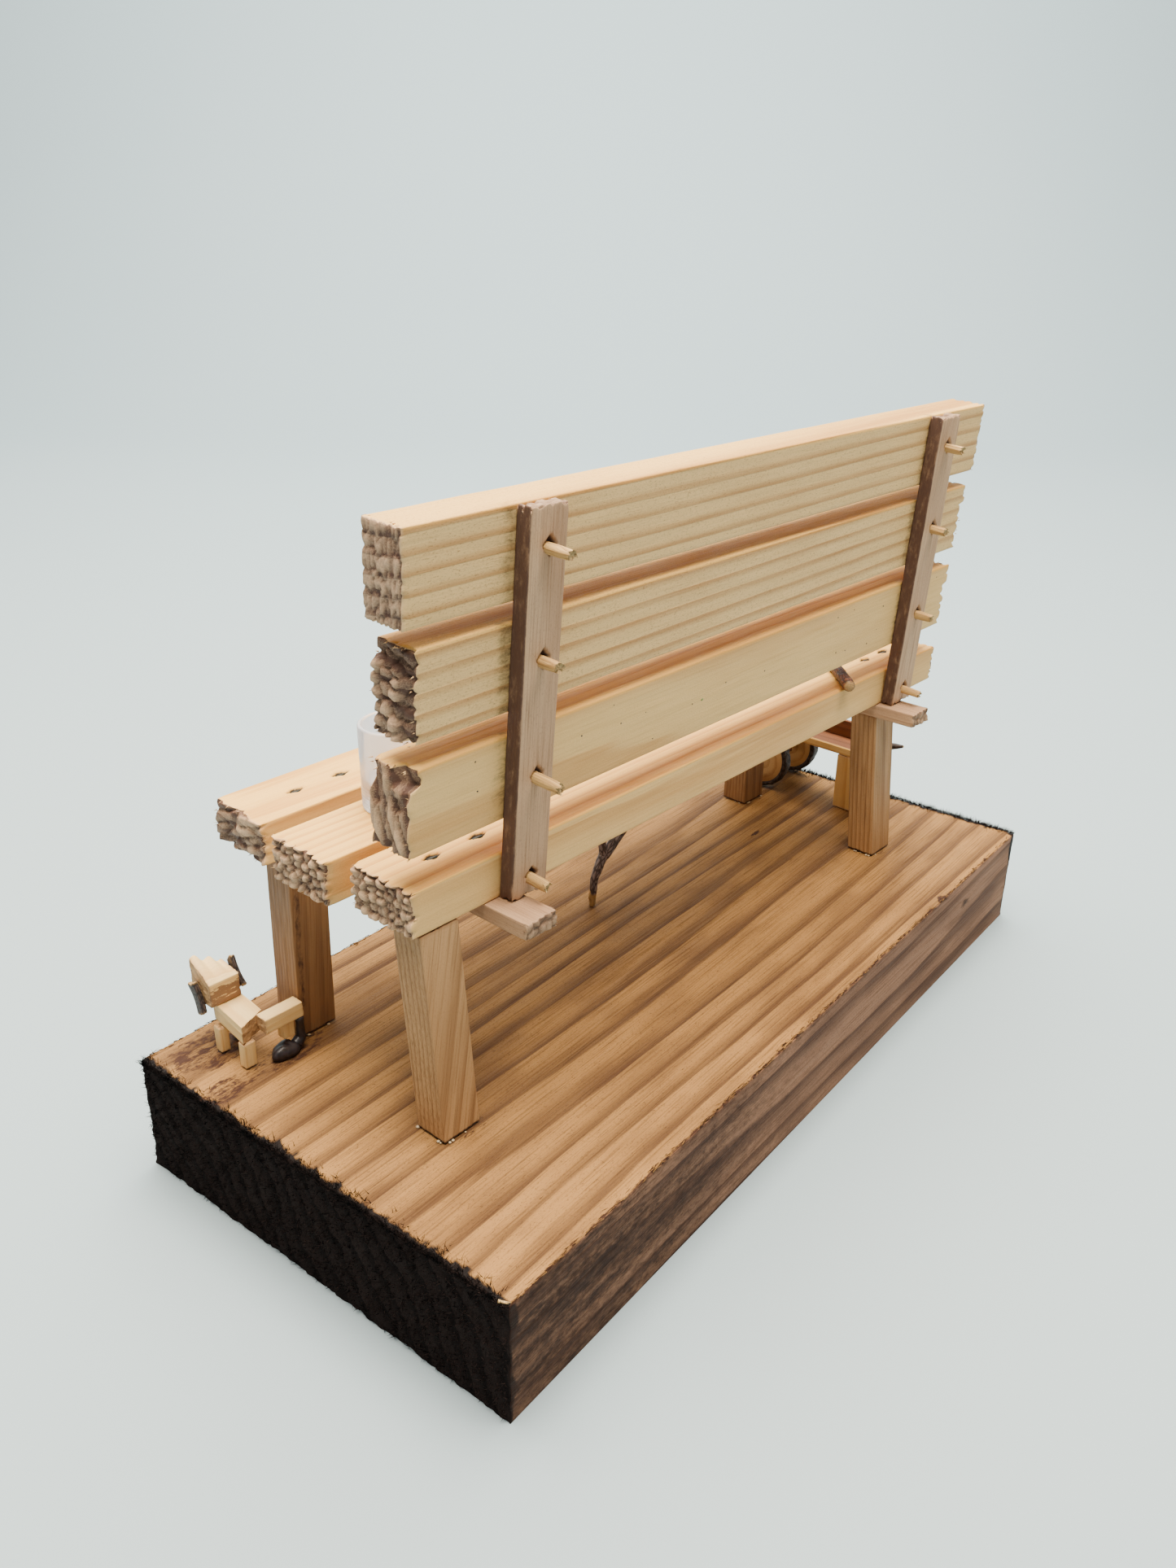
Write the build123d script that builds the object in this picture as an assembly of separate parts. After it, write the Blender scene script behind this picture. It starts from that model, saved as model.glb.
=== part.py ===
from build123d import *
import math
import os

os.makedirs("parts", exist_ok=True)

# Wooden garden-bench model on a stained plank, with a small dog, a glass and a handcart.
# Millimetres, +Z up. The origin is the middle of the plank's underside: X runs along the
# plank and Y across it. The bench faces -Y, and "right" is the +X end, where the dog is.

# Plank
base_length = 260.6
base_width = 120.0
base_height = 32.0

# The bench stands a little askew on the plank, and everything on it shares its frame.
bench_turn = -3.7

# Slats: all six are cut from the same strip.
slat_width = 19.5
slat_thickness = 10.9
seat_underside = 83.8
seat_top = seat_underside + slat_thickness

# Seat slats: name, rear edge in Y, right end and left end in X
seat_slats = [
    ("seat_slat_rear", 20.8, 105.4, -117.7),
    ("seat_slat_middle", -2.7, 109.1, -116.5),
    ("seat_slat_front", -28.0, 107.5, -118.0),
]

# Back slats: name, lower edge above the seat along the reclined back, right end, left end
back_recline = 3.2
back_foot_y = 21.46
back_slats = [
    ("back_slat_bottom", 8.4, 106.8, -116.1),
    ("back_slat_middle", 33.0, 105.7, -117.6),
    ("back_slat_top", 56.6, 106.9, -119.5),
]

# Seat bearers: flat strips from front to back under the slats
bearer_width = 9.3
bearer_thickness = 4.2
bearer_front_y = -45.0
bearer_rear_y = 34.2

# Uprights: they stand on the bearers' rear ends, against the back slats
upright_width = 10.8
upright_thickness = 4.0
upright_top = 76.4

# Per side: name, bearer's middle X, upright's middle X, its sideways lean, pegs' stick-out
sides = [
    ("right", 79.4, 73.4, 1.2, (6.8, 5.4, 7.8, 6.0)),
    ("left", -87.4, -90.3, 0.0, (5.4, 5.0, 5.7, 6.2)),
]

# Room left round each peg and pin in its hole
hole_clearance = 0.05

# Round pegs through the uprights: heights along the back, from the seat's top
peg_diameter = 2.5
peg_depth = 6.0
peg_heights = (67.4, 44.0, 18.0, -6.4)

# Legs: name, middle X, middle Y at the top and at the foot, height of the top
leg_width = 10.9
leg_depth = 9.1
short_top = seat_underside - bearer_thickness
legs = [
    ("leg_front_right", 95.2, -32.6, -34.3, seat_underside),
    ("leg_rear_right", 97.1, 16.2, 21.2, seat_underside),
    ("leg_front_left", -92.6, -32.6, -32.6, short_top),
    ("leg_rear_left", -89.2, 16.2, 20.3, short_top),
]

# Flat steel brads punched into the front and rear seat slats
pin_width = 3.0
pin_thickness = 0.8
pin_length = 9.0
pin_sink = 0.5
pinned_slats = ("seat_slat_front", "seat_slat_rear")
pin_x = (90.2, 76.8, -90.2, -100.9)

# Dog: small blocks of stripwood, head towards -Y, one hind leg lifted towards the bench
dog_leg_height = 7.3
dog_body_height = 5.2
dog_body_plan = [(117.3, -28.5), (109.5, -31.5), (108.6, -43.4), (115.8, -43.4)]
dog_legs = [
    ("dog_foreleg_right", (114.9, 117.5), (-41.4, -38.6)),
    ("dog_foreleg_left", (108.9, 111.5), (-43.2, -40.6)),
    ("dog_hind_leg", (113.8, 117.2), (-31.4, -28.7)),
]
dog_lifted_leg_x = (100.7, 112.0)
dog_lifted_leg_y = (-31.1, -27.0)
dog_lifted_leg_thickness = 4.2
dog_shin_x = (103.4, 106.6)
dog_shin_y = (-30.7, -27.7)
dog_shin_lift = 3.6
dog_head_x = (109.1, 117.9)
dog_head_y = (-48.4, -40.4)
dog_head_rear_height = 6.4
dog_head_front_height = 9.6
dog_muzzle_x = (111.2, 115.8)
dog_muzzle_length = 4.0
dog_muzzle_z = (1.0, 5.4)
dog_ear = (1.7, 2.9, 9.2)

# Ears: name, side of the head, middle Y, middle height over the dog's back, tilt
dog_ears = [
    ("dog_ear_right", 1, -44.0, 2.2, 22.0),
    ("dog_ear_left", -1, -43.8, 4.9, 32.0),
]
puddle = (8.0, 6.0, 3.2)
puddle_place = (107.0, -27.4)
puddle_lip = 1.0
stream_place = (101.8, -27.9)
stream_diameters = [2.6, 2.8, 3.4]

# Clear tumbler with a thick foot, on the middle seat slat
tumbler_place = (78.8, -13.9)
tumbler_diameter = 16.0
tumbler_height = 20.8
tumbler_wall = 0.9
tumbler_foot = 6.4
tumbler_corner = 1.2
ring_count = 5
ring_pitch = 1.3
ring_crest = 0.1
ring_valley = 0.45

# Bark-covered stick lying across the seat, its rear end showing under the back
stick_diameter = 3.8
stick_length = 70.0
stick_rear_end = (-61.0, 22.6)
stick_heading = 225.0

# Forked twig standing on the plank under the seat: points and diameters
twig_trunk = [(1.8, -20.4, 33.4), (1.4, -20.2, 41.0), (-1.6, -19.0, 49.0)]
twig_trunk_diameters = [2.6, 2.7, 4.6]
twig_left_fork = [twig_trunk[-1], (-9.0, -15.0, 60.0), (-12.0, -12.6, 72.0), (-12.4, -12.4, 81.6)]
twig_left_diameters = [4.6, 4.2, 4.0, 3.8]
twig_right_fork = [twig_trunk[-1], (3.0, -17.5, 62.0), (4.0, -14.0, 74.0), (4.2, -13.0, 81.9)]
twig_right_diameters = [4.6, 3.2, 3.0, 2.8]

# Small handcart behind the left legs
cart_right_x = -107.9
cart_left_x = -121.6
cart_front_y = -45.0
cart_rear_y = 7.0
cart_underside = 52.0
cart_floor = 1.2
cart_board = 1.4
cart_low_side = 2.6
cart_high_side = 7.4
wheel_diameter = 23.0
tyre_thickness = 2.0
wheel_thickness = 3.4
wheel_gap = 0.6
wheel_y = -34.0
axle_diameter = 2.4
axle_block_depth = 5.0
cart_leg_size = (9.6, 9.5)
cart_leg_front_y = -5.0
axle_end = 0.6
handle_diameters = (3.0, 1.4)
handle_inset = 1.6
handle_overlap = 2.0
handle_start = 2.0
handle_reach = 6.0
handle_rise = 2.2


def box(x, y, z):
    """A box between two coordinates on each axis."""
    size = (x[1] - x[0], y[1] - y[0], z[1] - z[0])
    middle = ((x[0] + x[1]) / 2, (y[0] + y[1]) / 2, (z[0] + z[1]) / 2)
    return Pos(*middle) * Box(*size)


def rod(start, end, diameter, end_diameter=None):
    """A round rod from one point to another, tapered when it has an end diameter."""
    axis = Vector(*end) - Vector(*start)
    place = Plane(origin=start, z_dir=axis)
    align = (Align.CENTER, Align.CENTER, Align.MIN)
    if end_diameter is None or end_diameter == diameter:
        return place * Cylinder(diameter / 2, axis.length, align=align)
    return place * Cone(diameter / 2, end_diameter / 2, axis.length, align=align)


def twig(points, diameters):
    """Tapered rods through the points, with a ball at each point."""
    shape = Pos(*points[0]) * Sphere(diameters[0] / 2)
    for i in range(1, len(points)):
        shape += rod(points[i - 1], points[i], diameters[i - 1], diameters[i])
        shape += Pos(*points[i]) * Sphere(diameters[i] / 2)
    return shape


def layer(low, high):
    """All the space over the plank between two heights."""
    return box((-base_length, base_length), (-base_width, base_width), (low, high))


def group(shapes):
    """Separate solids kept together in one node."""
    return Compound(children=[solid for shape in shapes for solid in shape.solids()])


def save(name, shape):
    """Turn a finished piece onto the plank and write it."""
    export_step(Rot(0, 0, bench_turn) * shape, f"parts/{name}.step")


# The reclined back: X stays, Y points out of the back's rear face, Z runs up the back.
back_frame = Location((0, back_foot_y, seat_top), (-back_recline, 0, 0))


def upright_frame(middle_x, lean):
    """The back's frame at one upright, leaning sideways about the upright's middle."""
    middle = upright_top / 2
    return back_frame * Pos(middle_x, 0, middle) * Rot(0, -lean, 0) * Pos(0, 0, -middle)


def peg(frame, height, stick_out, room=0.0):
    """One peg through an upright and into the slat in front of it, or its hole."""
    foot = (0, -peg_depth - room, height)
    tip = (0, upright_thickness + stick_out, height)
    return frame * rod(foot, tip, peg_diameter + 2 * room)


def pin(x, y, top, bottom, room=0.0):
    """One flat pin standing in a slat, or its slot."""
    half_width = pin_width / 2 + room
    half_thickness = pin_thickness / 2 + room
    return box(
        (x - half_width, x + half_width),
        (y - half_thickness, y + half_thickness),
        (bottom - room, top),
    )


def make_base():
    half_length = base_length / 2
    half_width = base_width / 2
    plank = box((-half_length, half_length), (-half_width, half_width), (0, base_height))
    export_step(plank, "parts/base_plank.step")


def make_legs():
    half_width = leg_width / 2
    half_depth = leg_depth / 2
    for name, x, top_y, foot_y, top in legs:
        outline = Polyline(
            (foot_y - half_depth, base_height),
            (foot_y + half_depth, base_height),
            (top_y + half_depth, top),
            (top_y - half_depth, top),
            close=True,
        )
        face = Plane.YZ.offset(x - half_width) * make_face(outline)
        save(name, extrude(face, leg_width))


def make_bearers():
    half_width = bearer_width / 2
    for side, x, *_ in sides:
        strip = box(
            (x - half_width, x + half_width),
            (bearer_front_y, bearer_rear_y),
            (seat_underside - bearer_thickness, seat_underside),
        )
        save(f"seat_bearer_{side}", strip)


def side_pegs(x, lean, stick_outs, room=0.0):
    """The four pegs of one upright, or their holes."""
    frame = upright_frame(x, lean)
    return [peg(frame, z, out, room) for z, out in zip(peg_heights, stick_outs)]


def peg_holes():
    """Every peg's hole."""
    holes = []
    for _, _, x, lean, stick_outs in sides:
        holes += side_pegs(x, lean, stick_outs, hole_clearance)
    return holes


def make_seat(holes):
    pins = []
    for name, rear_y, right_x, left_x in seat_slats:
        slat = box((left_x, right_x), (rear_y - slat_width, rear_y), (seat_underside, seat_top))
        if name in pinned_slats:
            middle_y = rear_y - slat_width / 2
            head = seat_top - pin_sink
            for x in pin_x:
                slat -= pin(x, middle_y, seat_top, head - pin_length, hole_clearance)
                pins.append(pin(x, middle_y, head, head - pin_length))
        for hole in holes:
            slat -= hole
        save(name, slat)
    save("seat_pins", group(pins))


def make_back(holes):
    for name, lower_edge, right_x, left_x in back_slats:
        upper_edge = lower_edge + slat_width
        slat = back_frame * box((left_x, right_x), (-slat_thickness, 0), (lower_edge, upper_edge))
        for hole in holes:
            slat -= hole
        save(name, slat)
    above_bearers = layer(seat_underside, seat_top + upright_top + slat_width)
    half_width = upright_width / 2
    for side, _, x, lean, stick_outs in sides:
        strip = box((-half_width, half_width), (0, upright_thickness), (-slat_width, upright_top))
        upright = (upright_frame(x, lean) * strip) & above_bearers
        for hole in holes:
            upright -= hole
        save(f"upright_{side}", upright)
        save(f"back_pegs_{side}", group(side_pegs(x, lean, stick_outs)))


def make_dog():
    belly = base_height + dog_leg_height
    spine = belly + dog_body_height
    plan = Pos(0, 0, belly) * make_face(Polyline(*dog_body_plan, close=True))
    body = extrude(plan, dog_body_height, dir=(0, 0, 1))
    save("dog_body", body)
    for name, x, y in dog_legs:
        save(name, box(x, y, (base_height, belly)))
    thigh = spine - dog_lifted_leg_thickness
    save("dog_lifted_leg", box(dog_lifted_leg_x, dog_lifted_leg_y, (thigh, spine)) - body)
    save("dog_shin", box(dog_shin_x, dog_shin_y, (base_height + dog_shin_lift, thigh)))

    front, rear = dog_head_y
    profile = Polyline(
        (rear, spine),
        (rear, spine + dog_head_rear_height),
        (front, spine + dog_head_front_height),
        (front, spine),
        close=True,
    )
    head = extrude(Plane.YZ.offset(dog_head_x[0]) * make_face(profile), dog_head_x[1] - dog_head_x[0])
    save("dog_head", head)
    low, high = dog_muzzle_z
    muzzle_y = (front - dog_muzzle_length, front)
    save("dog_muzzle", box(dog_muzzle_x, muzzle_y, (spine + low, spine + high)))

    middle_x = sum(dog_head_x) / 2
    offset_x = (dog_head_x[1] - dog_head_x[0] + dog_ear[0]) / 2
    for name, sign, y, height, tilt in dog_ears:
        place = Pos(middle_x + sign * offset_x, y, spine + height)
        save(name, place * Rot(tilt, 0, 0) * Box(*dog_ear))

    lip = base_height + puddle_lip
    course = [(*stream_place, thigh), (*stream_place, lip), (*puddle_place, lip)]
    pool = scale(Sphere(0.5), by=(puddle[0], puddle[1], 2 * puddle[2]))
    wet = twig(course, stream_diameters) + Pos(*puddle_place, base_height) * pool
    save("dog_puddle", wet & layer(base_height, thigh))


def make_tumbler():
    radius = tumbler_diameter / 2
    bore = radius - tumbler_wall
    top = tumbler_height
    outside = [(0, 0), (radius - ring_valley, 0)]
    for i in range(ring_count):
        crest = ring_pitch * (i + 0.5)
        outside += [(radius - ring_crest, crest), (radius - ring_valley, crest + ring_pitch / 2)]
    outside += [(radius, tumbler_foot + ring_pitch), (radius, top)]
    corner = tumbler_foot + tumbler_corner
    inside = [(bore, top), (bore, corner), (bore - tumbler_corner, tumbler_foot), (0, tumbler_foot)]
    glass = revolve(Plane.XZ * make_face(Polyline(*outside, *inside, close=True)), Axis.Z)
    save("tumbler", Pos(*tumbler_place, seat_top) * glass)


def make_sticks():
    heading = math.radians(stick_heading)
    rear = (*stick_rear_end, seat_top + stick_diameter / 2)
    front = (
        rear[0] + stick_length * math.cos(heading),
        rear[1] + stick_length * math.sin(heading),
        rear[2],
    )
    save("seat_stick", twig([rear, front], [stick_diameter, stick_diameter]))

    fork = twig(twig_trunk, twig_trunk_diameters)
    fork += twig(twig_left_fork, twig_left_diameters)
    fork += twig(twig_right_fork, twig_right_diameters)
    save("forked_twig", fork & layer(base_height, seat_underside))


def cart_wheel(name, x):
    """A slice of branch on edge: pale wood inside a ring of bark."""
    hub = base_height + wheel_diameter / 2
    radius = wheel_diameter / 2
    start = (x, wheel_y, hub)
    end = (x + wheel_thickness, wheel_y, hub)
    core = rod(start, end, 2 * (radius - tyre_thickness))
    core_hole = rod(start, end, axle_diameter)
    save(f"cart_wheel_{name}", core - core_hole)
    save(f"cart_tyre_{name}", rod(start, end, wheel_diameter) - core)


def make_cart():
    floor_z = (cart_underside, cart_underside + cart_floor)
    low_z = (cart_underside, cart_underside + cart_low_side)
    high_z = (cart_underside, cart_underside + cart_high_side)
    inner_x = (cart_left_x + cart_board, cart_right_x - cart_board)
    inner_y = (cart_front_y + cart_board, cart_rear_y - cart_board)
    long_y = (cart_front_y, cart_rear_y)
    save("cart_floor", box(inner_x, inner_y, floor_z))
    save("cart_side_right", box((inner_x[1], cart_right_x), long_y, low_z))
    save("cart_side_left", box((cart_left_x, inner_x[0]), long_y, high_z))
    save("cart_end_front", box(inner_x, (cart_front_y, inner_y[0]), low_z))
    save("cart_end_rear", box(inner_x, (inner_y[1], cart_rear_y), low_z))

    hub = base_height + wheel_diameter / 2
    right_wheel_x = cart_right_x + wheel_gap
    left_wheel_x = cart_left_x - wheel_gap - wheel_thickness
    cart_wheel("right", right_wheel_x)
    cart_wheel("left", left_wheel_x)
    axle = rod(
        (left_wheel_x - axle_end, wheel_y, hub),
        (right_wheel_x + wheel_thickness + axle_end, wheel_y, hub),
        axle_diameter,
    )
    save("cart_axle", axle)
    half_depth = axle_block_depth / 2
    block_z = (hub - half_depth, cart_underside)
    block = box((cart_left_x, cart_right_x), (wheel_y - half_depth, wheel_y + half_depth), block_z)
    save("cart_axle_block", block - axle)

    leg_x = (cart_right_x - cart_leg_size[0], cart_right_x)
    leg_y = (cart_leg_front_y, cart_leg_front_y + cart_leg_size[1])
    save("cart_leg", box(leg_x, leg_y, (base_height, cart_underside)))

    tray = box((cart_left_x, cart_right_x), long_y, high_z)
    handle_z = cart_underside + handle_start
    for side, x in (("right", cart_right_x - handle_inset), ("left", cart_left_x + handle_inset)):
        start = (x, cart_rear_y - handle_overlap, handle_z)
        end = (x, cart_rear_y + handle_reach, handle_z + handle_rise)
        save(f"cart_handle_{side}", rod(start, end, *handle_diameters) - tray)


make_base()
make_legs()
make_bearers()
holes = peg_holes()
make_seat(holes)
make_back(holes)
make_dog()
make_tumbler()
make_sticks()
make_cart()
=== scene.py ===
import math

import bpy
import numpy as np
from mathutils import Matrix, Vector


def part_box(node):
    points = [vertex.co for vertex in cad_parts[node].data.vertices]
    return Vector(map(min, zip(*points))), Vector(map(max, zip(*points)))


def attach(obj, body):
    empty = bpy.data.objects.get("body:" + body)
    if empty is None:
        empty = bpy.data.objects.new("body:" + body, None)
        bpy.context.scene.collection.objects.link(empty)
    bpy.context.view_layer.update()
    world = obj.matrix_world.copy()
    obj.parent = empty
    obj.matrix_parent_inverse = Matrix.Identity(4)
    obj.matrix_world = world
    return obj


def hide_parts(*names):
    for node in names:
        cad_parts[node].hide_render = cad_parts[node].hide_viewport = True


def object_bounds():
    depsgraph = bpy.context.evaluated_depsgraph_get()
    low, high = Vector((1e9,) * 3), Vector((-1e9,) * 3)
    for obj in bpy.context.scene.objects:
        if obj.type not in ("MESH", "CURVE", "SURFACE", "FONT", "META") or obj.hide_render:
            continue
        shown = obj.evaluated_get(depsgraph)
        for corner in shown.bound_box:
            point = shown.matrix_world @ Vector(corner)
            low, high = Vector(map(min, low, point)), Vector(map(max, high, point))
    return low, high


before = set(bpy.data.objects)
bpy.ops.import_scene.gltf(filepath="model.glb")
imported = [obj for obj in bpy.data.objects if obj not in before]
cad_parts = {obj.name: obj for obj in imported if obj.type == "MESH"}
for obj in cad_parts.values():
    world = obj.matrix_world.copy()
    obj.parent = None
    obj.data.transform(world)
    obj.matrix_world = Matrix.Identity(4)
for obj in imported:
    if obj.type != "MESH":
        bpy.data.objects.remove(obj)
cad_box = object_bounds()

# A slatted bench of torn stripwood on a stained plank. Shapes are worked out in millimetres,
# each in its own piece's frame with X along the wood's grain, and written in metres.
MM = 0.001
CAD_MARGIN = 0.04 * MM
CAD_LOW = np.array(cad_box[0]) + CAD_MARGIN
CAD_HIGH = np.array(cad_box[1]) - CAD_MARGIN

# The bench's turn on the plank and its back's recline, in degrees, and where the back's foot stands
BENCH_TURN = -3.7
BACK_RECLINE = -3.2
BACK_FOOT_Y = 21.46


def turned(axis, degrees):
    return Matrix.Rotation(math.radians(degrees), 4, axis)


def moved(x, y, z):
    return Matrix.Translation(Vector((x, y, z)) * MM)


PLANK = Matrix.Identity(4)
BENCH = turned("Z", BENCH_TURN)
UP = turned("Y", -90)
ACROSS = turned("Z", 90)


# ---------------------------------------------------------------- noise and meshes

def hashed(cells, seed):
    """A number from 0 to 1 for each whole-number cell."""
    x, y, z = (cells[:, i].astype(np.int64) for i in range(3))
    n = (x * 73856093) ^ (y * 19349663) ^ (z * 83492791) ^ (seed * 97531)
    for _ in range(2):
        n = ((n ^ (n >> 15)) * 2246822519) & 0xFFFFFFFF
    return ((n ^ (n >> 13)) & 0xFFFFFF) / 0xFFFFFF


def noise_at(points, size, seed=0):
    """Smooth noise from -1 to 1, with features of the given size, one number or one per axis."""
    p = points / np.asarray(size, float)
    cell = np.floor(p)
    f = p - cell
    f = f * f * (3 - 2 * f)
    total = 0
    for corner in np.ndindex(2, 2, 2):
        weight = np.prod(np.where(corner, f, 1 - f), axis=1)
        total = total + weight * hashed(cell + corner, seed)
    return total * 2 - 1


def cells_at(u, v, size, seed):
    """For each point: the distance to its cell's centre, the gap to the next cell, the cell's number."""
    p = np.stack([u / size[0], v / size[1], np.zeros_like(u)], axis=1)
    home = np.floor(p)
    near = np.full(len(u), 9.0)
    second = np.full(len(u), 9.0)
    number = np.zeros(len(u))
    for step in np.ndindex(3, 3):
        cell = home + (step[0] - 1, step[1] - 1, 0)
        jitter = np.stack([hashed(cell, seed), hashed(cell, seed + 1), np.zeros_like(u)], axis=1)
        away = np.linalg.norm(cell + 0.15 + 0.7 * jitter - p, axis=1)
        closer = away < near
        second = np.where(closer, near, np.minimum(second, away))
        number = np.where(closer, hashed(cell, seed + 2), number)
        near = np.where(closer, away, near)
    return near, second - near, number


def smooth(x, low, high):
    t = np.clip((x - low) / (high - low), 0, 1)
    return t * t * (3 - 2 * t)


def stops(low, high, step, fine=()):
    """Places from low to high about one step apart, closer at both ends and round each fine place."""
    inset = min(0.45, (high - low) / 6)
    count = max(2, round((high - low) / step))
    places = list(np.linspace(low + inset, high - inset, count))
    places += [low, low + inset * 0.4, high - inset * 0.4, high]
    for middle, reach, spacing in fine:
        places += list(np.arange(middle - reach, middle + reach, spacing))
    kept = [low]
    for place in sorted(p for p in places if low < p < high):
        if place - kept[-1] > 0.08 and high - place > 0.08:
            kept.append(place)
    return kept + [high]


def lattice(xs, ys, zs):
    """A closed grid of quads over a box: its points and its faces."""
    stations = (xs, ys, zs)
    index, points, faces = {}, [], []
    for a in range(3):
        b, c = (a + 1) % 3, (a + 2) % 3
        for side in (0, len(stations[a]) - 1):
            for m in range(len(stations[b]) - 1):
                for n in range(len(stations[c]) - 1):
                    quad = []
                    for dm, dn in ((0, 0), (1, 0), (1, 1), (0, 1)):
                        key = [0, 0, 0]
                        key[a], key[b], key[c] = side, m + dm, n + dn
                        key = tuple(key)
                        if key not in index:
                            index[key] = len(points)
                            points.append([stations[i][key[i]] for i in range(3)])
                        quad.append(index[key])
                    faces.append(quad if side else quad[::-1])
    return np.array(points), faces


def piece(name, points, faces, place, materials, nodes=(), marks=None, choice=None):
    """One visible piece: points in millimetres in its own frame, and marks for its materials."""
    turn, shift = np.array(place.to_3x3()), np.array(place.translation)
    inside = np.clip(points * MM @ turn.T + shift, CAD_LOW, CAD_HIGH)
    mesh = bpy.data.meshes.new(name)
    mesh.from_pydata(((inside - shift) @ turn).tolist(), [], [list(map(int, f)) for f in faces])
    for key, values in (marks or {}).items():
        kind = "FLOAT_VECTOR" if values.ndim == 2 else "FLOAT"
        layer = mesh.attributes.new(key, kind, "POINT")
        field = "vector" if values.ndim == 2 else "value"
        layer.data.foreach_set(field, values.astype(np.float32).ravel())
    mesh.shade_smooth()
    for material in materials if isinstance(materials, tuple) else (materials,):
        mesh.materials.append(material)
    if choice is not None:
        mesh.polygons.foreach_set("material_index", choice)
    obj = bpy.data.objects.new(name, mesh)
    bpy.context.scene.collection.objects.link(obj)
    obj.matrix_world = place
    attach(obj, "root")
    if nodes:
        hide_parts(*nodes)
    return obj


def cad_points(node, place):
    """A CAD node's corners, in millimetres in a piece's frame."""
    back = place.inverted()
    return np.array([back @ v.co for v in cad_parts[node].data.vertices]) / MM


def extent(node, place):
    points = cad_points(node, place)
    return points.min(0), points.max(0)


def slivers(roots, directions, lengths, widths, seed):
    """Thin three-sided splinters, each from its root to its tip."""
    rng = np.random.default_rng(seed)
    points, faces = [], []
    for root, direction, length, width in zip(np.array(roots), np.array(directions), lengths, widths):
        way = direction / np.linalg.norm(direction)
        side = np.cross(way, rng.normal(size=3))
        side /= np.linalg.norm(side)
        other = np.cross(way, side)
        start = len(points)
        for turn in range(3):
            angle = math.tau * turn / 3
            points.append(root + width * (math.cos(angle) * side + math.sin(angle) * other))
            faces.append((start + turn, start + (turn + 1) % 3, start + 3))
        points.append(root + way * length + side * length * rng.uniform(-0.15, 0.15))
        faces.append((start + 2, start + 1, start))
    return np.array(points), faces


# ---------------------------------------------------------------- materials

def shader(name):
    material = bpy.data.materials.new(name)
    material.use_nodes = True
    tree = material.node_tree
    return material, tree, tree.nodes["Principled BSDF"]


def feed(tree, made, inputs):
    """Sets a node's inputs from plain values or other nodes' outputs."""
    for key, value in inputs.items():
        if isinstance(value, bpy.types.NodeSocket):
            tree.links.new(value, made.inputs[key])
        else:
            made.inputs[key].default_value = value


def node(tree, kind, inputs=None, **settings):
    made = tree.nodes.new("ShaderNode" + kind)
    for key, value in settings.items():
        setattr(made, key, value)
    feed(tree, made, inputs or {})
    return made


def maths(tree, operation, a, b=0.0, c=0.0, clamp=False):
    return node(tree, "Math", {0: a, 1: b, 2: c}, operation=operation, use_clamp=clamp).outputs[0]


def ramp(tree, value, low, high, to_low=0.0, to_high=1.0):
    inputs = {"Value": value, "From Min": low, "From Max": high, "To Min": to_low, "To Max": to_high}
    return node(tree, "MapRange", inputs, interpolation_type="SMOOTHSTEP").outputs["Result"]


def mixed(tree, factor, a, b, blend="MIX"):
    made = node(tree, "Mix", {0: factor, 6: a, 7: b}, data_type="RGBA", blend_type=blend)
    return made.outputs[2]


def mark(tree, name, output="Fac"):
    return node(tree, "Attribute", attribute_name=name).outputs[output]


def stretched(tree, vector, scale):
    return node(tree, "VectorMath", {0: vector, 1: scale}, operation="MULTIPLY").outputs[0]


def noise_node(tree, vector, scale, detail=3.0, roughness=0.55):
    inputs = {"Vector": vector, "Scale": scale, "Detail": detail, "Roughness": roughness}
    return node(tree, "TexNoise", inputs).outputs["Fac"]


def bump(tree, height, strength, distance=0.0003):
    return node(tree, "Bump", {"Height": height, "Strength": strength, "Distance": distance}).outputs[0]


def linear(red, green, blue):
    """A colour given as screen values from 0 to 255."""
    def channel(c):
        c /= 255
        return c / 12.92 if c <= 0.04045 else ((c + 0.055) / 1.055) ** 2.4
    return (channel(red), channel(green), channel(blue), 1.0)


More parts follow.
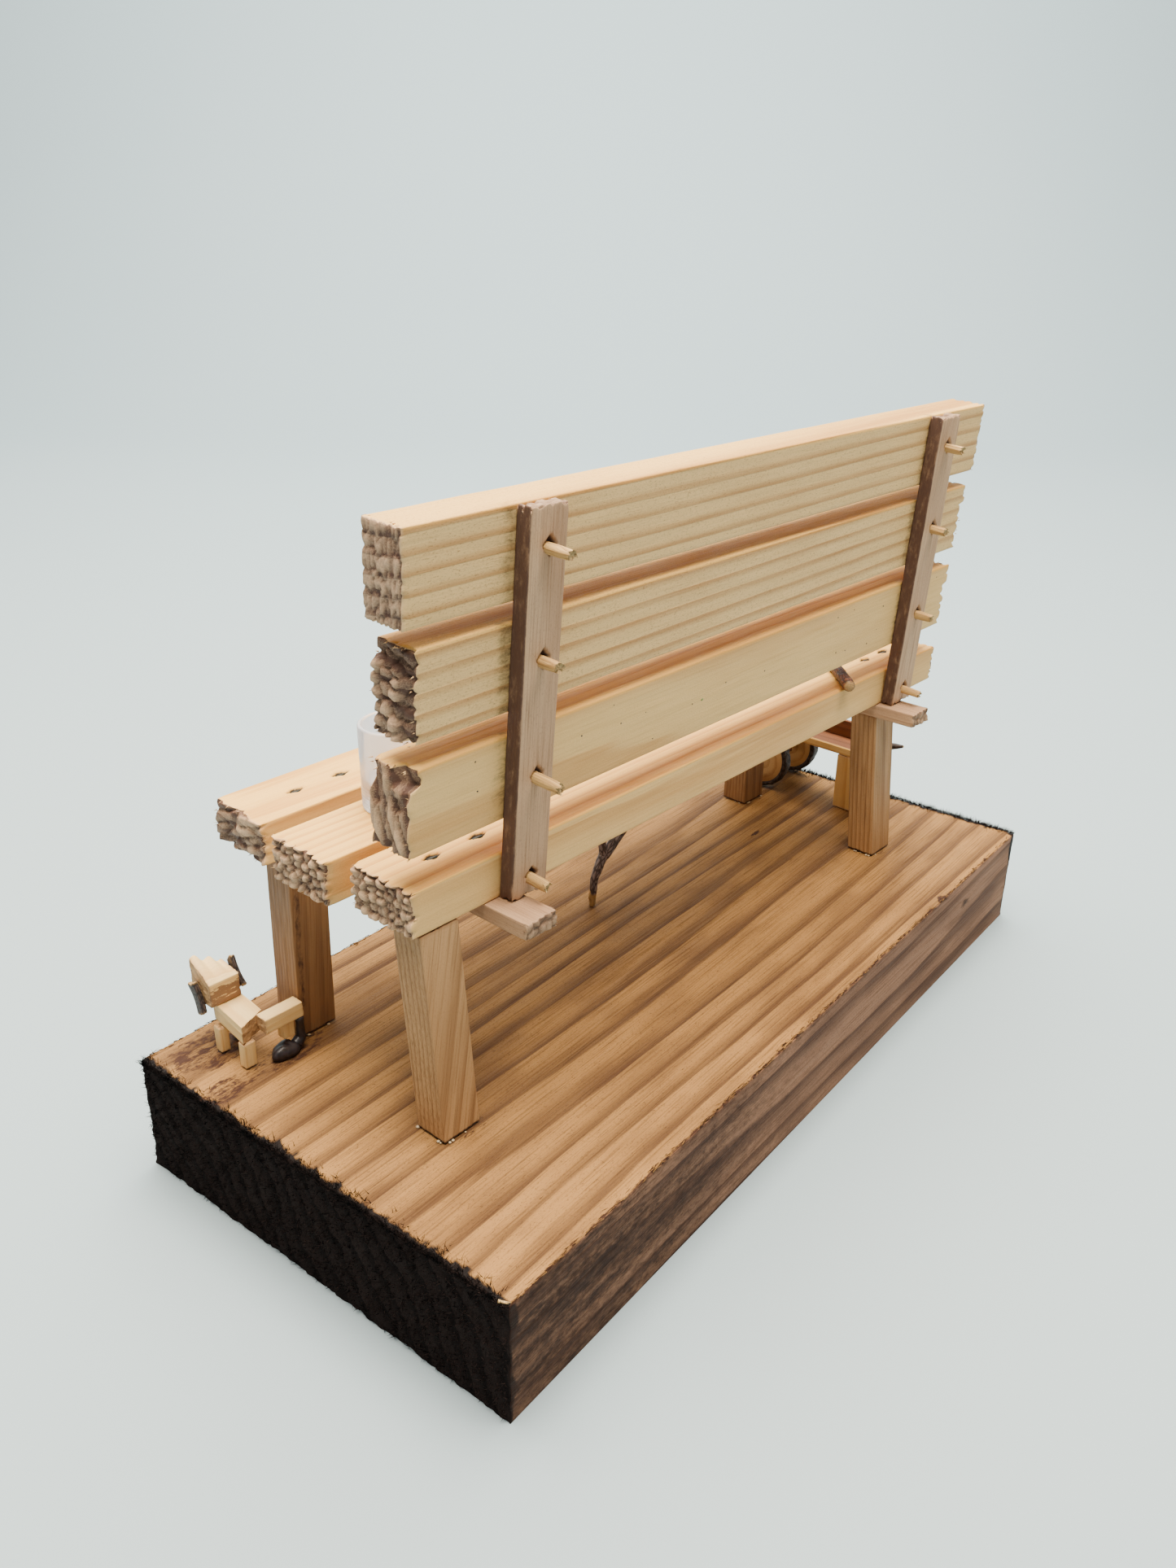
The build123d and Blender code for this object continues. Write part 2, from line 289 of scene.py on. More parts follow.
def wood(name, early, late, end, end_deep, dark, ring, contrast, streak, sandy, relief, blotch=0.3,
         gloss=0.6, shine=0.3, band=(0.35, 0.90), broken=(0.3, 0.4), wander=1.0, painted_light_tint=(1.0, 1.0, 1.0)):
    """Softwood cut from rings round the grain axis, darker in its latewood and torn at its ends."""
    early, late, end, end_deep, dark = (linear(*c) for c in (early, late, end, end_deep, dark))
    shade = tuple(c * 0.62 for c in late[:3]) + (1.0,)
    material, tree, bsdf = shader(name)
    grain = mark(tree, "grain", "Vector")

    def noise(size, detail, roughness=0.55):
        return noise_node(tree, stretched(tree, grain, size), 1.0, detail, roughness)

    def times(a, b):
        return maths(tree, "MULTIPLY", a, b)

    def times_plus(a, b, c):
        return maths(tree, "MULTIPLY_ADD", a, b, c)

    drift = noise((0.004, 0.03, 0.03), 1.0)
    wobble = noise((0.012, 0.25, 0.25), 2.0)
    fibre = noise((0.05, 2.6, 2.6), 4.0, 0.6)
    coarse = noise((0.02, 0.45, 0.45), 3.0, 0.6)
    sand = noise((1.6, 3.4, 3.4), 3.0, 0.7)
    patch = noise((0.03, 0.08, 0.08), 2.0)
    rag = noise((0.25, 0.6, 0.6), 6.0, 0.75)

    parts = node(tree, "SeparateXYZ", {0: grain})
    square = times(parts.outputs[1], parts.outputs[1])
    radius = maths(tree, "SQRT", times_plus(parts.outputs[2], parts.outputs[2], square))
    radius = times_plus(drift, ring * 3.0 * wander, radius)
    radius = times_plus(wobble, ring * 0.5 * wander, radius)
    turn = maths(tree, "FRACT", maths(tree, "DIVIDE", radius, ring))
    latewood = times(ramp(tree, turn, *band), ramp(tree, turn, 0.93, 1.0, 1.0, 0.0))

    strength = times(latewood, ramp(tree, coarse, 0.25, 0.7, 0.55 * contrast, contrast))
    colour = mixed(tree, strength, early, late)
    colour = mixed(tree, times(ramp(tree, fibre, 0.45, 0.75), streak), colour, shade)
    colour = mixed(tree, times(ramp(tree, patch, 0.4, 0.7), blotch), colour, late)
    colour = mixed(tree, times(ramp(tree, sand, 0.52, 0.75), sandy), colour, shade)
    # The colour multiplied in here is painted light: painted top light on the slats' top faces, painted
    # shadow of the bench on the plank's top.
    colour = mixed(tree, mark(tree, "painted_light"), colour, (*painted_light_tint, 1.0), "MULTIPLY")

    deep = times_plus(sand, 1.1, times_plus(latewood, 0.3, -0.65))
    deep = maths(tree, "ADD", mark(tree, "deep"), deep, clamp=True)
    colour = mixed(tree, mark(tree, "end"), colour, mixed(tree, deep, end, end_deep))
    # Dark patches from the dark mark: real staining, and painted shade where parts meet, in dents and on
    # faces turned from the light.
    stained_and_shaded = mark(tree, "dark")
    stain_and_shade = ramp(tree, maths(tree, "ADD", stained_and_shaded, times_plus(rag, 1.6, -0.8)), *broken)
    colour = mixed(tree, times(stain_and_shade, ramp(tree, stained_and_shaded, 0.0, 0.3)), colour, dark)

    height = times_plus(latewood, 0.5, times_plus(sand, 0.7, fibre))
    feed(tree, bsdf, {
        "Base Color": colour,
        "Roughness": ramp(tree, fibre, 0.3, 0.7, gloss - 0.1, gloss + 0.12),
        "Normal": bump(tree, height, relief),
        "Specular IOR Level": shine,
    })
    return material


def bark(name, low, high, scale=1.0):
    """Fissured bark, paler on its ridges, with pale wood where it is cut."""
    material, tree, bsdf = shader(name)
    grain = mark(tree, "grain", "Vector")
    plates = node(tree, "TexVoronoi", {"Vector": stretched(tree, grain, (0.35, 1.1, 1.1)), "Scale": scale},
                  feature="DISTANCE_TO_EDGE").outputs["Distance"]
    fine = noise_node(tree, stretched(tree, grain, (0.8, 2.2, 2.2)), scale, 4.0, 0.65)
    height = maths(tree, "MULTIPLY", fine, 0.6)
    height = maths(tree, "MULTIPLY_ADD", ramp(tree, plates, 0.0, 0.25), 0.5, height)
    colour = mixed(tree, ramp(tree, height, 0.3, 0.9), linear(*low), linear(*high))
    pale = mixed(tree, fine, linear(196, 160, 98), linear(140, 100, 58))
    feed(tree, bsdf, {
        "Base Color": mixed(tree, mark(tree, "end"), colour, pale),
        "Roughness": ramp(tree, fine, 0.3, 0.7, 0.45, 0.75),
        "Normal": bump(tree, height, 0.5, 0.0004),
    })
    return material


def clear_material(name):
    """Clear plastic, faintly smeared."""
    material, tree, bsdf = shader(name)
    smear = noise_node(tree, mark(tree, "grain", "Vector"), 0.35)
    feed(tree, bsdf, {
        "Base Color": mixed(tree, smear, (0.90, 0.92, 1.0, 1), (0.97, 0.98, 1.0, 1)),
        "Roughness": ramp(tree, smear, 0.3, 0.8, 0.02, 0.10),
        "Transmission Weight": 0.62,
        "IOR": 1.2,
    })
    return material


def blob_material(name, low, high, gloss, coat):
    """Dried glue or resin: cloudy colour over a wet-looking skin."""
    material, tree, bsdf = shader(name)
    cloud = noise_node(tree, mark(tree, "grain", "Vector"), 0.8)
    feed(tree, bsdf, {
        "Base Color": mixed(tree, ramp(tree, cloud, 0.3, 0.7), linear(*low), linear(*high)),
        "Roughness": ramp(tree, cloud, 0.3, 0.7, gloss, gloss + 0.2),
        "Coat Weight": coat,
        "Normal": bump(tree, cloud, 0.3),
    })
    return material


def brad_material(name):
    material, tree, bsdf = shader(name)
    grain = mark(tree, "grain", "Vector")
    scratch = noise_node(tree, stretched(tree, grain, (0.6, 6.0, 6.0)), 1.0)
    near_black, grey = (0.012, 0.014, 0.012, 1), (0.045, 0.05, 0.04, 1)
    feed(tree, bsdf, {
        "Base Color": mixed(tree, ramp(tree, scratch, 0.4, 0.7), near_black, grey),
        "Roughness": ramp(tree, scratch, 0.3, 0.7, 0.35, 0.6),
        "Metallic": 0.6,
    })
    return material


# Stained pine is tinted darker over marked faces: painted shadow of the bench on the plank's top.
STAINED = wood(
    "stained_pine", (165, 122, 70), (82, 54, 32), (30, 20, 16), (12, 8, 8),
    (62, 38, 26), ring=7.4, contrast=0.95, streak=0.6, sandy=0.75, relief=0.7, blotch=0.45,
    band=(0.3, 0.95), broken=(0.35, 0.6), shine=0.15, wander=0.7, painted_light_tint=(0.72, 0.70, 0.66),
)
STAINED_SIDE = wood(
    "stained_pine_side", (152, 112, 86), (72, 48, 38), (30, 20, 16), (12, 8, 8),
    (46, 28, 20), ring=4.2, contrast=0.9, streak=0.5, sandy=0.75, gloss=0.7, relief=0.5, blotch=0.4,
    broken=(0.15, 1.1), shine=0.1,
)
STAINED_END = wood(
    "stained_pine_end", (30, 20, 16), (12, 8, 8), (54, 43, 40), (8, 8, 9),
    (9, 7, 7), ring=6.0, contrast=0.5, streak=0.4, sandy=0.5, gloss=0.9, relief=0.8, shine=0.04,
)
# Pale and striped spruce are tinted warmer on their top faces: painted top light.
PALE = wood(
    "pale_spruce", (230, 190, 122), (196, 142, 78), (214, 176, 136), (92, 64, 50),
    (34, 27, 20), ring=3.1, contrast=0.7, streak=0.2, sandy=0.22, relief=0.3, blotch=0.2,
    broken=(0.2, 1.15), painted_light_tint=(1.0, 0.90, 0.60),
)
STRIPED = wood(
    "striped_spruce", (228, 190, 128), (176, 126, 70), (206, 170, 134), (90, 64, 52),
    (34, 27, 20), ring=3.9, contrast=0.85, streak=0.16, sandy=0.75, relief=0.4, blotch=0.12,
    band=(0.45, 0.88), wander=0.3, broken=(0.2, 1.15), painted_light_tint=(1.0, 0.90, 0.60),
)
# The dog wood's end-grain colours are kept dark partly for end grain and partly as painted shade on the
# body's shaded rear end.
DOG_WOOD = wood(
    "dog_spruce", (238, 204, 140), (214, 166, 98), (204, 164, 114), (130, 92, 60),
    (140, 106, 76), ring=2.6, contrast=0.6, streak=0.16, sandy=0.14, relief=0.25, blotch=0.2,
)
LEGS = wood(
    "leg_spruce", (182, 142, 96), (128, 90, 52), (130, 92, 58), (64, 38, 24),
    (52, 32, 24), ring=1.5, contrast=0.75, streak=0.6, sandy=0.4, relief=0.4, blotch=0.35,
    broken=(0.25, 0.75),
)
SHADED_LEGS = wood(
    "shaded_leg_spruce", (156, 116, 76), (108, 74, 46), (130, 92, 58), (64, 38, 24),
    (52, 30, 26), ring=1.3, contrast=0.6, streak=0.5, sandy=0.15, relief=0.3, blotch=0.35,
    broken=(0.25, 0.75),
)
GREY = wood(
    "grey_stripwood", (198, 162, 126), (150, 112, 82), (178, 146, 114), (110, 82, 62),
    (84, 60, 48), ring=5.0, contrast=0.4, streak=0.6, sandy=0.5, gloss=0.65, relief=0.35, blotch=0.4,
    broken=(0.1, 1.0),
)
PEG = wood(
    "peg_wood", (206, 168, 108), (150, 106, 58), (214, 182, 126), (100, 68, 38),
    (48, 30, 18), ring=0.8, contrast=0.7, streak=0.5, sandy=0.25, relief=0.5, blotch=0.25,
)
BROWN = wood(
    "brown_stripwood", (132, 84, 54), (84, 48, 30), (120, 84, 58), (60, 40, 30),
    (46, 30, 24), ring=2.4, contrast=0.7, streak=0.4, sandy=0.3, relief=0.3, blotch=0.3,
)
TWIG = bark("twig_bark", (66, 54, 50), (140, 122, 118))
STICK = bark("stick_bark", (46, 22, 14), (112, 66, 44))
DARK_BARK = bark("dark_bark", (26, 18, 16), (74, 58, 50), scale=1.4)
CLEAR = clear_material("clear_glass")
RESIN = blob_material("dark_resin", (14, 9, 10), (40, 32, 36), 0.35, 0.08)
GLUE = blob_material("dried_glue", (150, 126, 92), (186, 166, 132), 0.25, 0.3)
BRAD = brad_material("brad_steel")
FLECK = blob_material("green_fleck", (96, 120, 60), (134, 150, 84), 0.6, 0.0)


# ---------------------------------------------------------------- strips of wood

# How each kind of cut end is torn: cell size, depth by cell, depth of the cracks between cells
TEARS = {
    "knobs": ((2.9, 2.2), 0.8, 1.0),
    "jagged": ((2.6, 3.1), 1.0, 0.9),
    "fibres": ((1.2, 3.8), 0.35, 0.35),
    "layers": ((14.0, 2.8), 0.9, 0.6),
    "splits": ((3.0, 16.0), 0.8, 0.7),
    "rough": ((1.9, 2.6), 0.45, 0.4),
    "sawn": ((1.6, 1.2), 0.12, 0.08),
}
TEAR_REACH = 10.0
SLAT_SPLINTERS, UPRIGHT_SPLINTERS = 26, 22


def tear_reach(low, high):
    """How far along a strip its torn end reaches, so that both ends fit on a short strip."""
    return min(TEAR_REACH, (high[0] - low[0]) / 2.2)


def torn(points, side, low, high, kind, seed):
    """How far back each point's grain is torn at one end, how deep its crack is, and how near it is."""
    size, by_cell, by_crack = TEARS[kind]
    slant = {"layers": (0.0, -0.3), "splits": (0.28, 0.0)}.get(kind, (0.0, 0.0))
    u = points[:, 1] + slant[0] * points[:, 2] + 0.25 * noise_at(points, (9, 1.5, 1.5), seed + 3)
    v = points[:, 2] + slant[1] * points[:, 1] + 0.25 * noise_at(points, (9, 1.5, 1.5), seed + 4)
    near, gap, number = cells_at(u + 40.0, v + 40.0, size, seed)
    crack = 1 - smooth(gap, 0.0, 0.36)
    dome = np.clip(near, 0, 1) ** 2
    depth = by_cell * (1.1 * number ** 2 + 0.6 * dome) + by_crack * crack
    fuzz = 0.10 * (1 + noise_at(points, (3, 0.45, 0.45), seed + 7))
    fuzz += 0.12 * (1 + noise_at(points, (3, 1.0, 1.0), seed + 8))
    depth += fuzz * min(1.0, (by_cell + by_crack) / 0.8)
    if kind == "jagged":
        depth += 1.6 * smooth(noise_at(points, (9, 7.0, 5.0), seed + 9), 0.0, 0.4)
    if kind in ("layers", "splits"):
        depth += 0.7 * smooth(noise_at(points, (9, 3.0, 4.0), seed + 9), 0.0, 0.4)
    if kind == "splits":
        broken = smooth(points[:, 2] - high[2], -4.5, -3.5) * smooth(points[:, 1] - high[1], -5.0, -4.0)
        depth += 2.4 * broken
    depth += 0.08 * noise_at(points, (3, 0.9, 0.28), seed + 10)
    reach = tear_reach(low, high)
    away = (high[0] - points[:, 0]) if side > 0 else (points[:, 0] - low[0])
    depth *= min(1.0, reach / (2.2 * (by_cell + by_crack)))
    share = np.clip(1 - away / reach, 0, 1) ** 2
    return depth * share, crack, away


def softened(points, low, high, edge):
    """A box's points with its edges rounded, which way each one faces, and which of them move."""
    inner = np.clip(points, low + edge, high - edge)
    outward = points - inner
    length = np.linalg.norm(outward, axis=1, keepdims=True)
    outward = outward / np.maximum(length, 1e-9)
    return inner + outward * edge, outward, length > edge


def strip(node_name, place, material, tears, pith, seed, ending="wood", step=0.6, edge=0.5,
          dents=(), stains_and_shadows=(), leans=False, slope=0.0, wear=0.05):
    """A strip of wood with its grain along X, rounded edges, torn ends and dents, in place of a CAD node."""
    low, high = extent(node_name, place)
    shear = 0.0
    if leans:
        corners = cad_points(node_name, place)
        foot = corners[corners[:, 0] < low[0] + 0.1]
        top = corners[corners[:, 0] > high[0] - 0.1]
        low[1], high[1] = foot[:, 1].min(), foot[:, 1].max()
        shear = top[:, 1].min() - low[1]
    reach = tear_reach(low, high)
    fine = [[(low[0], reach, step), (high[0], reach, step)], [], []]
    for spot, radii, *_ in dents:
        for axis, parts in enumerate((5, 4, 4)):
            fine[axis].append((spot[axis], radii[axis] * 1.3, radii[axis] / parts))
    steps = (max(step * 5, 2.0), step, step)
    points, faces = lattice(*(stops(low[a], high[a], steps[a], fine[a]) for a in range(3)))
    grain = points.copy()
    rounded, outward, at_edge = softened(points, low, high, edge)
    points = np.where(at_edge, rounded, points)
    wave = noise_at(grain + seed * 31.7, (14, 2.2, 2.2), seed) + 0.5 * noise_at(grain, (5, 0.8, 0.8), seed)
    points -= outward * (wear * (1 + wave))[:, None]

    middle = (low + high) / 2
    dark = np.zeros(len(points))
    # Dark patches given as middle, radii and amount: real staining, and painted shadows where parts meet and
    # on faces turned from the light.
    for spot, radii, amount in stains_and_shadows:
        span = np.linalg.norm((grain - spot) / radii, axis=1)
        dark = np.maximum(dark, amount * smooth(1.3 - span, 0.0, 0.6))
    # Each dent is pressed in and painted dark inside: painted shade in its hollow.
    for spot, radii, axis, depth in dents:
        off = (grain - spot) / radii
        off[:, axis] = 0
        flat = np.abs(grain[:, axis] - spot[axis]) < 0.05
        slit = radii[0] > 1.5 * min(radii[1], radii[2])
        span = np.abs(off).sum(1) if slit else np.linalg.norm(off, axis=1)
        mask = flat * smooth(1.15 - span, 0.0, 0.45)
        points[:, axis] -= depth * mask
        dark = np.maximum(dark, mask * 1.6)

    ends, deep = np.zeros(len(points)), np.zeros(len(points))
    for side, kind in zip((-1, 1), tears):
        depth, crack, away = torn(grain, side, low, high, kind, seed + 11 * side + 20)
        points[:, 0] -= side * depth
        pinch = (0.0 if kind == "sawn" else 0.05) * crack * smooth(-away, -2.2, 0.0)
        points[:, 1:] -= (points[:, 1:] - middle[1:]) * pinch[:, None]
        face = away < 1e-6
        ends = np.maximum(ends, np.where(face, 1.0, smooth(-away, -0.9, -0.1) * 0.7))
        _, by_cell, by_crack = TEARS[kind]
        hollow = np.minimum(depth / (by_cell + by_crack + 0.3), 0.75) * 1.25
        deep = np.maximum(deep, np.where(face, hollow, 0.0))
    points[:, 1] += shear * (grain[:, 0] - low[0]) / (high[0] - low[0])
    coords = grain - middle + (seed * 173.0, pith[0], pith[1])
    coords[:, 2] += slope * (grain[:, 0] - middle[0])
    # Top faces are marked to take the material's painted top light.
    painted_light = (grain[:, 2] > high[2] - edge - 0.01).astype(float)
    marks = {"grain": coords, "end": ends, "deep": np.clip(deep, 0, 1), "dark": dark, "painted_light": painted_light}
    return piece(f"{node_name}_{ending}", points, faces, place, material, [node_name], marks)


def back_frame():
    """The reclined back: Y points out of its rear face and Z runs up it, from the seat's top."""
    seat_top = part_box("seat_slat_rear")[1].z / MM
    return BENCH @ moved(0, BACK_FOOT_Y, seat_top) @ turned("X", BACK_RECLINE)


BACK = back_frame()


# No two brads' heads are nearer to each other than this
BRAD_GAP = 6


def brad_places():
    """The middle of each brad's head, in the bench's frame."""
    points = cad_points("seat_pins", BENCH)
    places = []
    for point in points[points[:, 2] > points[:, 2].max() - 0.1]:
        if all(np.linalg.norm(point - other[0]) > BRAD_GAP for other in places):
            places.append([point, []])
        for place in places:
            if np.linalg.norm(point - place[0]) < BRAD_GAP:
                place[1].append(point)
    return [np.mean(group, axis=0) for _, group in places]


BRADS = brad_places()


def end_slivers(name, node_name, place, material, side, count, seed):
    """Loose splinters round the rim of a torn end, kept inside the end's own reach."""
    low, high = extent(node_name, place)
    rng = np.random.default_rng(seed)
    roots, ways = [], []
    for _ in range(count):
        rim = rng.integers(0, 4)
        y = rng.uniform(low[1], high[1]) if rim > 1 else (low[1] + 0.2, high[1] - 0.2)[rim]
        z = rng.uniform(low[2], high[2]) if rim < 2 else (low[2] + 0.2, high[2] - 0.2)[rim - 2]
        inward = rng.uniform(1.4, 2.6)
        roots.append((high[0] - inward if side > 0 else low[0] + inward, y, z))
        ways.append((side, rng.normal(0, 0.25), rng.normal(0, 0.25)))
    lengths, widths = rng.uniform(0.8, 1.6, count), rng.uniform(0.08, 0.22, count)
    points, faces = slivers(roots, ways, lengths, widths, seed)
    points = np.clip(points, low, high)
    ones = np.ones(len(points))
    marks = {"grain": points + (seed * 31.0, 20, 20), "end": 0.6 * ones, "deep": 0.2 * ones}
    piece(name, points, faces, place, material, (), marks)


def make_slats():
    looks = {
        "seat_slat_rear": (("rough", "knobs"), (70, 12), 3, PALE),
        "seat_slat_middle": (("rough", "knobs"), (60, -10), 4, PALE),
        "seat_slat_front": (("rough", "layers"), (12, 60), 5, PALE),
        "back_slat_bottom": (("jagged", "splits"), (64, 8), 6, PALE),
        "back_slat_middle": (("jagged", "jagged"), (10, 60), 7, STRIPED),
        "back_slat_top": (("rough", "fibres"), (8, -64), 8, STRIPED),
    }
    for name, (tears, pith, seed, material) in looks.items():
        place = BACK if name.startswith("back") else BENCH
        low, high = extent(name, place)
        dents, stains_and_shadows = [], []
        for spot in BRADS:
            if name.startswith("seat") and low[1] < spot[1] < high[1]:
                dents.append(((spot[0], spot[1], high[2]), (3.0, 1.5, 1.0), 2, 1.1))
        # Painted shadow on the back slats' rear faces beside each upright.
        for side in ("right", "left") if name.startswith("back") else ():
            edge_x = extent(f"upright_{side}", BACK)[1][0]
            spot = (edge_x - 0.3, high[1], (low[2] + high[2]) / 2)
            stains_and_shadows.append((spot, (2.6, 2.5, 30.0), 0.55))
        strip(name, place, material, tears, pith, seed, dents=dents, stains_and_shadows=stains_and_shadows, slope=0.01)
        for side, hand in ((-1, "left"), (1, "right")):
            end_slivers(f"{name}_splinters_{hand}", name, place, material, side,
                        SLAT_SPLINTERS, seed + 100 * side + 200)


def make_flecks():
    """A green fleck on the bottom back slat, and dark specks along it."""
    low, high = extent("back_slat_bottom", BACK)
    rng = np.random.default_rng(12)
    fleck, specks = [(10.5, 0.44, 0.55, 0.35)], []
    for _ in range(26):
        x, share = rng.uniform(low[0] + 4, high[0] - 8), rng.uniform(0.1, 0.9)
        specks.append((x, share, rng.uniform(0.12, 0.3), 0.2))
    for name, material, spots in (("green_fleck", FLECK, fleck), ("dark_specks", RESIN, specks)):
        shapes = []
        for x, share, size_x, size_z in spots:
            points, faces = lathe([(0, 0.0), (1.0, 0.0), (0.8, 0.5), (0, 0.8)], 9)
            points = points[:, [0, 2, 1]] * (size_x, 0.12, -size_z)
            points += 0.04 * np.stack([noise_at(points + x, 0.3, 5)] * 3, axis=1)
            points += (x, high[1] - 0.07, low[2] + share * (high[2] - low[2]))
            shapes.append((points, faces, np.zeros(len(points))))
        points, faces, _ = joined(shapes)
        piece(name, points, faces, BACK, material, marks={"grain": points})


def make_brads():
    low, _ = extent("seat_pins", BENCH)
    points, faces = [], []
    for spot in BRADS:
        start = len(points)
        for z, half in ((low[2], 0.25), (spot[2] - 0.15, 0.38), (spot[2], 0.30)):
            for sx, sy in ((-1, -1), (1, -1), (1, 1), (-1, 1)):
                points.append((spot[0] + sx * half * 4.0, spot[1] + sy * half, z))
        faces.append((start + 3, start + 2, start + 1, start))
        faces.append((start + 8, start + 9, start + 10, start + 11))
        for ring in (0, 4):
            for k in range(4):
                a, b = start + ring + k, start + ring + (k + 1) % 4
                faces.append((a, b, b + 4, a + 4))
    points = np.array(points)
    piece("brads", points, faces, BENCH, BRAD, ["seat_pins"], {"grain": points})


def make_legs():
    looks = {
        "front_right": ((24.0, 6.0), -0.05),
        "rear_right": ((26.0, 6.0), -0.26),
        "front_left": ((20.0, 9.0), 0.06),
        "rear_left": ((22.0, 4.0), 0.03),
    }
    for seed, (name, (pith, slope)) in enumerate(looks.items(), 21):
        node_name = f"leg_{name}"
        low, high = extent(node_name, BENCH @ UP)
        # A dark band round each leg's foot: painted contact shadow.
        foot = (low[0], (low[1] + high[1]) / 2, (low[2] + high[2]) / 2)
        stains_and_shadows = [(foot, (0.7, 40.0, 40.0), 0.6)]
        if name == "front_right":
            line = ((low[0] + high[0]) / 2 + 4, high[1] - 3.2, low[2] + 1.6)
            stains_and_shadows.append((line, (26.0, 9.0, 0.9), 0.42))
        material = SHADED_LEGS if name.startswith("front") else LEGS
        strip(node_name, BENCH @ UP, material, ("sawn", "sawn"), pith, seed,
              edge=0.35, leans=True, slope=slope, stains_and_shadows=stains_and_shadows)


LEG_NAMES = ("rear_right", "rear_left", "front_right", "front_left")


def leg_foot(name, place):
    """The corners of a leg's foot, in a piece's frame."""
    corners = cad_points(f"leg_{name}", place)
    return corners[corners[:, 2] < corners[:, 2].min() + 0.1]


def make_glue():
    """Beads of dried glue squeezed out round the legs' feet."""
    rng = np.random.default_rng(9)
    shapes = []
    for name in LEG_NAMES:
        foot = leg_foot(name, BENCH)
        low, high = foot.min(0), foot.max(0)
        for _ in range(6):
            along = rng.uniform(0, 1)
            x = low[0] + along * (high[0] - low[0]) if rng.random() < 0.5 else high[0] + 0.1
            y = high[1] + 0.1 if x <= high[0] else low[1] + along * (high[1] - low[1])
            size = rng.uniform(0.25, 0.5)
            points, faces = lathe([(0, 0.0), (1.0, 0.0), (0.95, 0.35), (0.6, 0.75), (0, 0.95)], 12)
            points *= (size, size, size * 0.7)
            points *= 1 + 0.15 * noise_at(points + (x, y, 0), 0.5, 4)[:, None]
            shapes.append((points + (x, y, low[2] - 0.02), faces, np.zeros(len(points))))
    points, faces, _ = joined(shapes)
    piece("foot_glue", points, faces, BENCH, GLUE, marks={"grain": points})


def peg_places(side):
    """Each peg of one upright as its centre line, in the back's frame: X, Z, and its Y range."""
    points = cad_points(f"back_pegs_{side}", BACK)
    points = points[np.argsort(points[:, 2])]
    breaks = np.where(np.diff(points[:, 2]) > 5)[0] + 1
    rows = []
    for group in np.split(points, breaks):
        low, high = group.min(0), group.max(0)
        rows.append(((low[0] + high[0]) / 2, (low[2] + high[2]) / 2, low[1], high[1]))
    return rows


def upright_place(side, lean):
    low, high = extent(f"upright_{side}", BACK)
    middle_x, middle_z = (low[0] + high[0]) / 2, high[2] / 2
    return BACK @ moved(middle_x, 0, middle_z) @ turned("Y", -lean) @ moved(0, 0, -middle_z) @ UP


def make_uprights():
    for seed, (side, lean) in enumerate((("right", 1.2), ("left", 0.0)), 31):
        upright, bearer = f"upright_{side}", f"seat_bearer_{side}"
        place = upright_place(side, lean)
        low, high = extent(upright, place)
        dents = []
        # Each peg's dent is set off to one side, so that its dark inside, painted shade in the hole's gap,
        # shows beside the peg.
        for x, z, _, _ in peg_places(side):
            spot = np.array(place.inverted() @ BACK @ (Vector((x, high[1], z)) * MM)) / MM
            spot[1] = high[1]
            dents.append((spot + (0.6, 0, 0.5), (2.2, 1.0, 2.0), 1, 1.9))
        # One flank is darkened along its length: partly real staining, partly painted shade on the side
        # turned from the light.
        flank = ((low[0] + high[0]) / 2, low[1], low[2])
        stains_and_shadows = [(flank, (90.0, 5.2, 0.5), 0.95)]
        strip(upright, place, GREY, ("rough", "rough"), (50.0, 6.0), seed,
              step=0.5, edge=0.4, dents=dents, stains_and_shadows=stains_and_shadows)
        end_slivers(f"{upright}_splinters", upright, place, GREY, 1, UPRIGHT_SPLINTERS,
                    seed)
        place = BENCH @ ACROSS
        strip(bearer, place, GREY, ("rough", "rough"), (6.0, 40.0), seed + 5,
              step=0.5, edge=0.35)
        end_slivers(f"{bearer}_splinters", bearer, place, GREY, 1, UPRIGHT_SPLINTERS,
                    seed + 9)


def whittled(x, z, start, end, radius, seed):
    """A split stick along Y with flats down its sides and a splintered end."""
    around, along = 16, 20
    rng = np.random.default_rng(seed)
    facets = 1 + 0.10 * rng.uniform(-1, 1, around)
    ragged = rng.uniform(0, 1.2, around)
    points, faces, ends = [], [], []
    for i in range(along + 1):
        t = i / along
        for k in range(around):
            angle = math.tau * k / around
            y = start + (end - start) * t - ragged[k] * max(0.0, t - 0.7) / 0.3
            r = radius * facets[k] * (1 - 0.10 * max(0.0, t - 0.8) / 0.2)
            points.append((x + r * math.cos(angle), y, z + r * math.sin(angle)))
            ends.append(1.0 if i == along else 0.0)
    for i in range(along):
        for k in range(around):
            a, b = i * around + k, i * around + (k + 1) % around
            faces.append((a, a + around, b + around, b))
    for row, y in ((0, start), (along, end - 1.0)):
        centre = len(points)
        points.append((x, y, z))
        ends.append(1.0 if row else 0.0)
        for k in range(around):
            a, b = row * around + k, row * around + (k + 1) % around
            faces.append((centre, b, a) if row == 0 else (centre, a, b))
    points = np.array(points)
    points[:, 0] += 0.08 * noise_at(points, (0.5, 2.5, 0.5), seed)
    points[:, 2] += 0.08 * noise_at(points, (0.5, 2.5, 0.5), seed + 1)
    return points, faces, np.array(ends)


def joined(shapes):
    """Several (points, faces, ends) shapes as one."""
    points, faces, ends = [], [], []
    for shape_points, shape_faces, shape_ends in shapes:
        start = sum(len(p) for p in points)
        points.append(shape_points)
        ends.append(shape_ends)
        faces += [tuple(start + i for i in face) for face in shape_faces]
    return np.concatenate(points), faces, np.concatenate(ends)


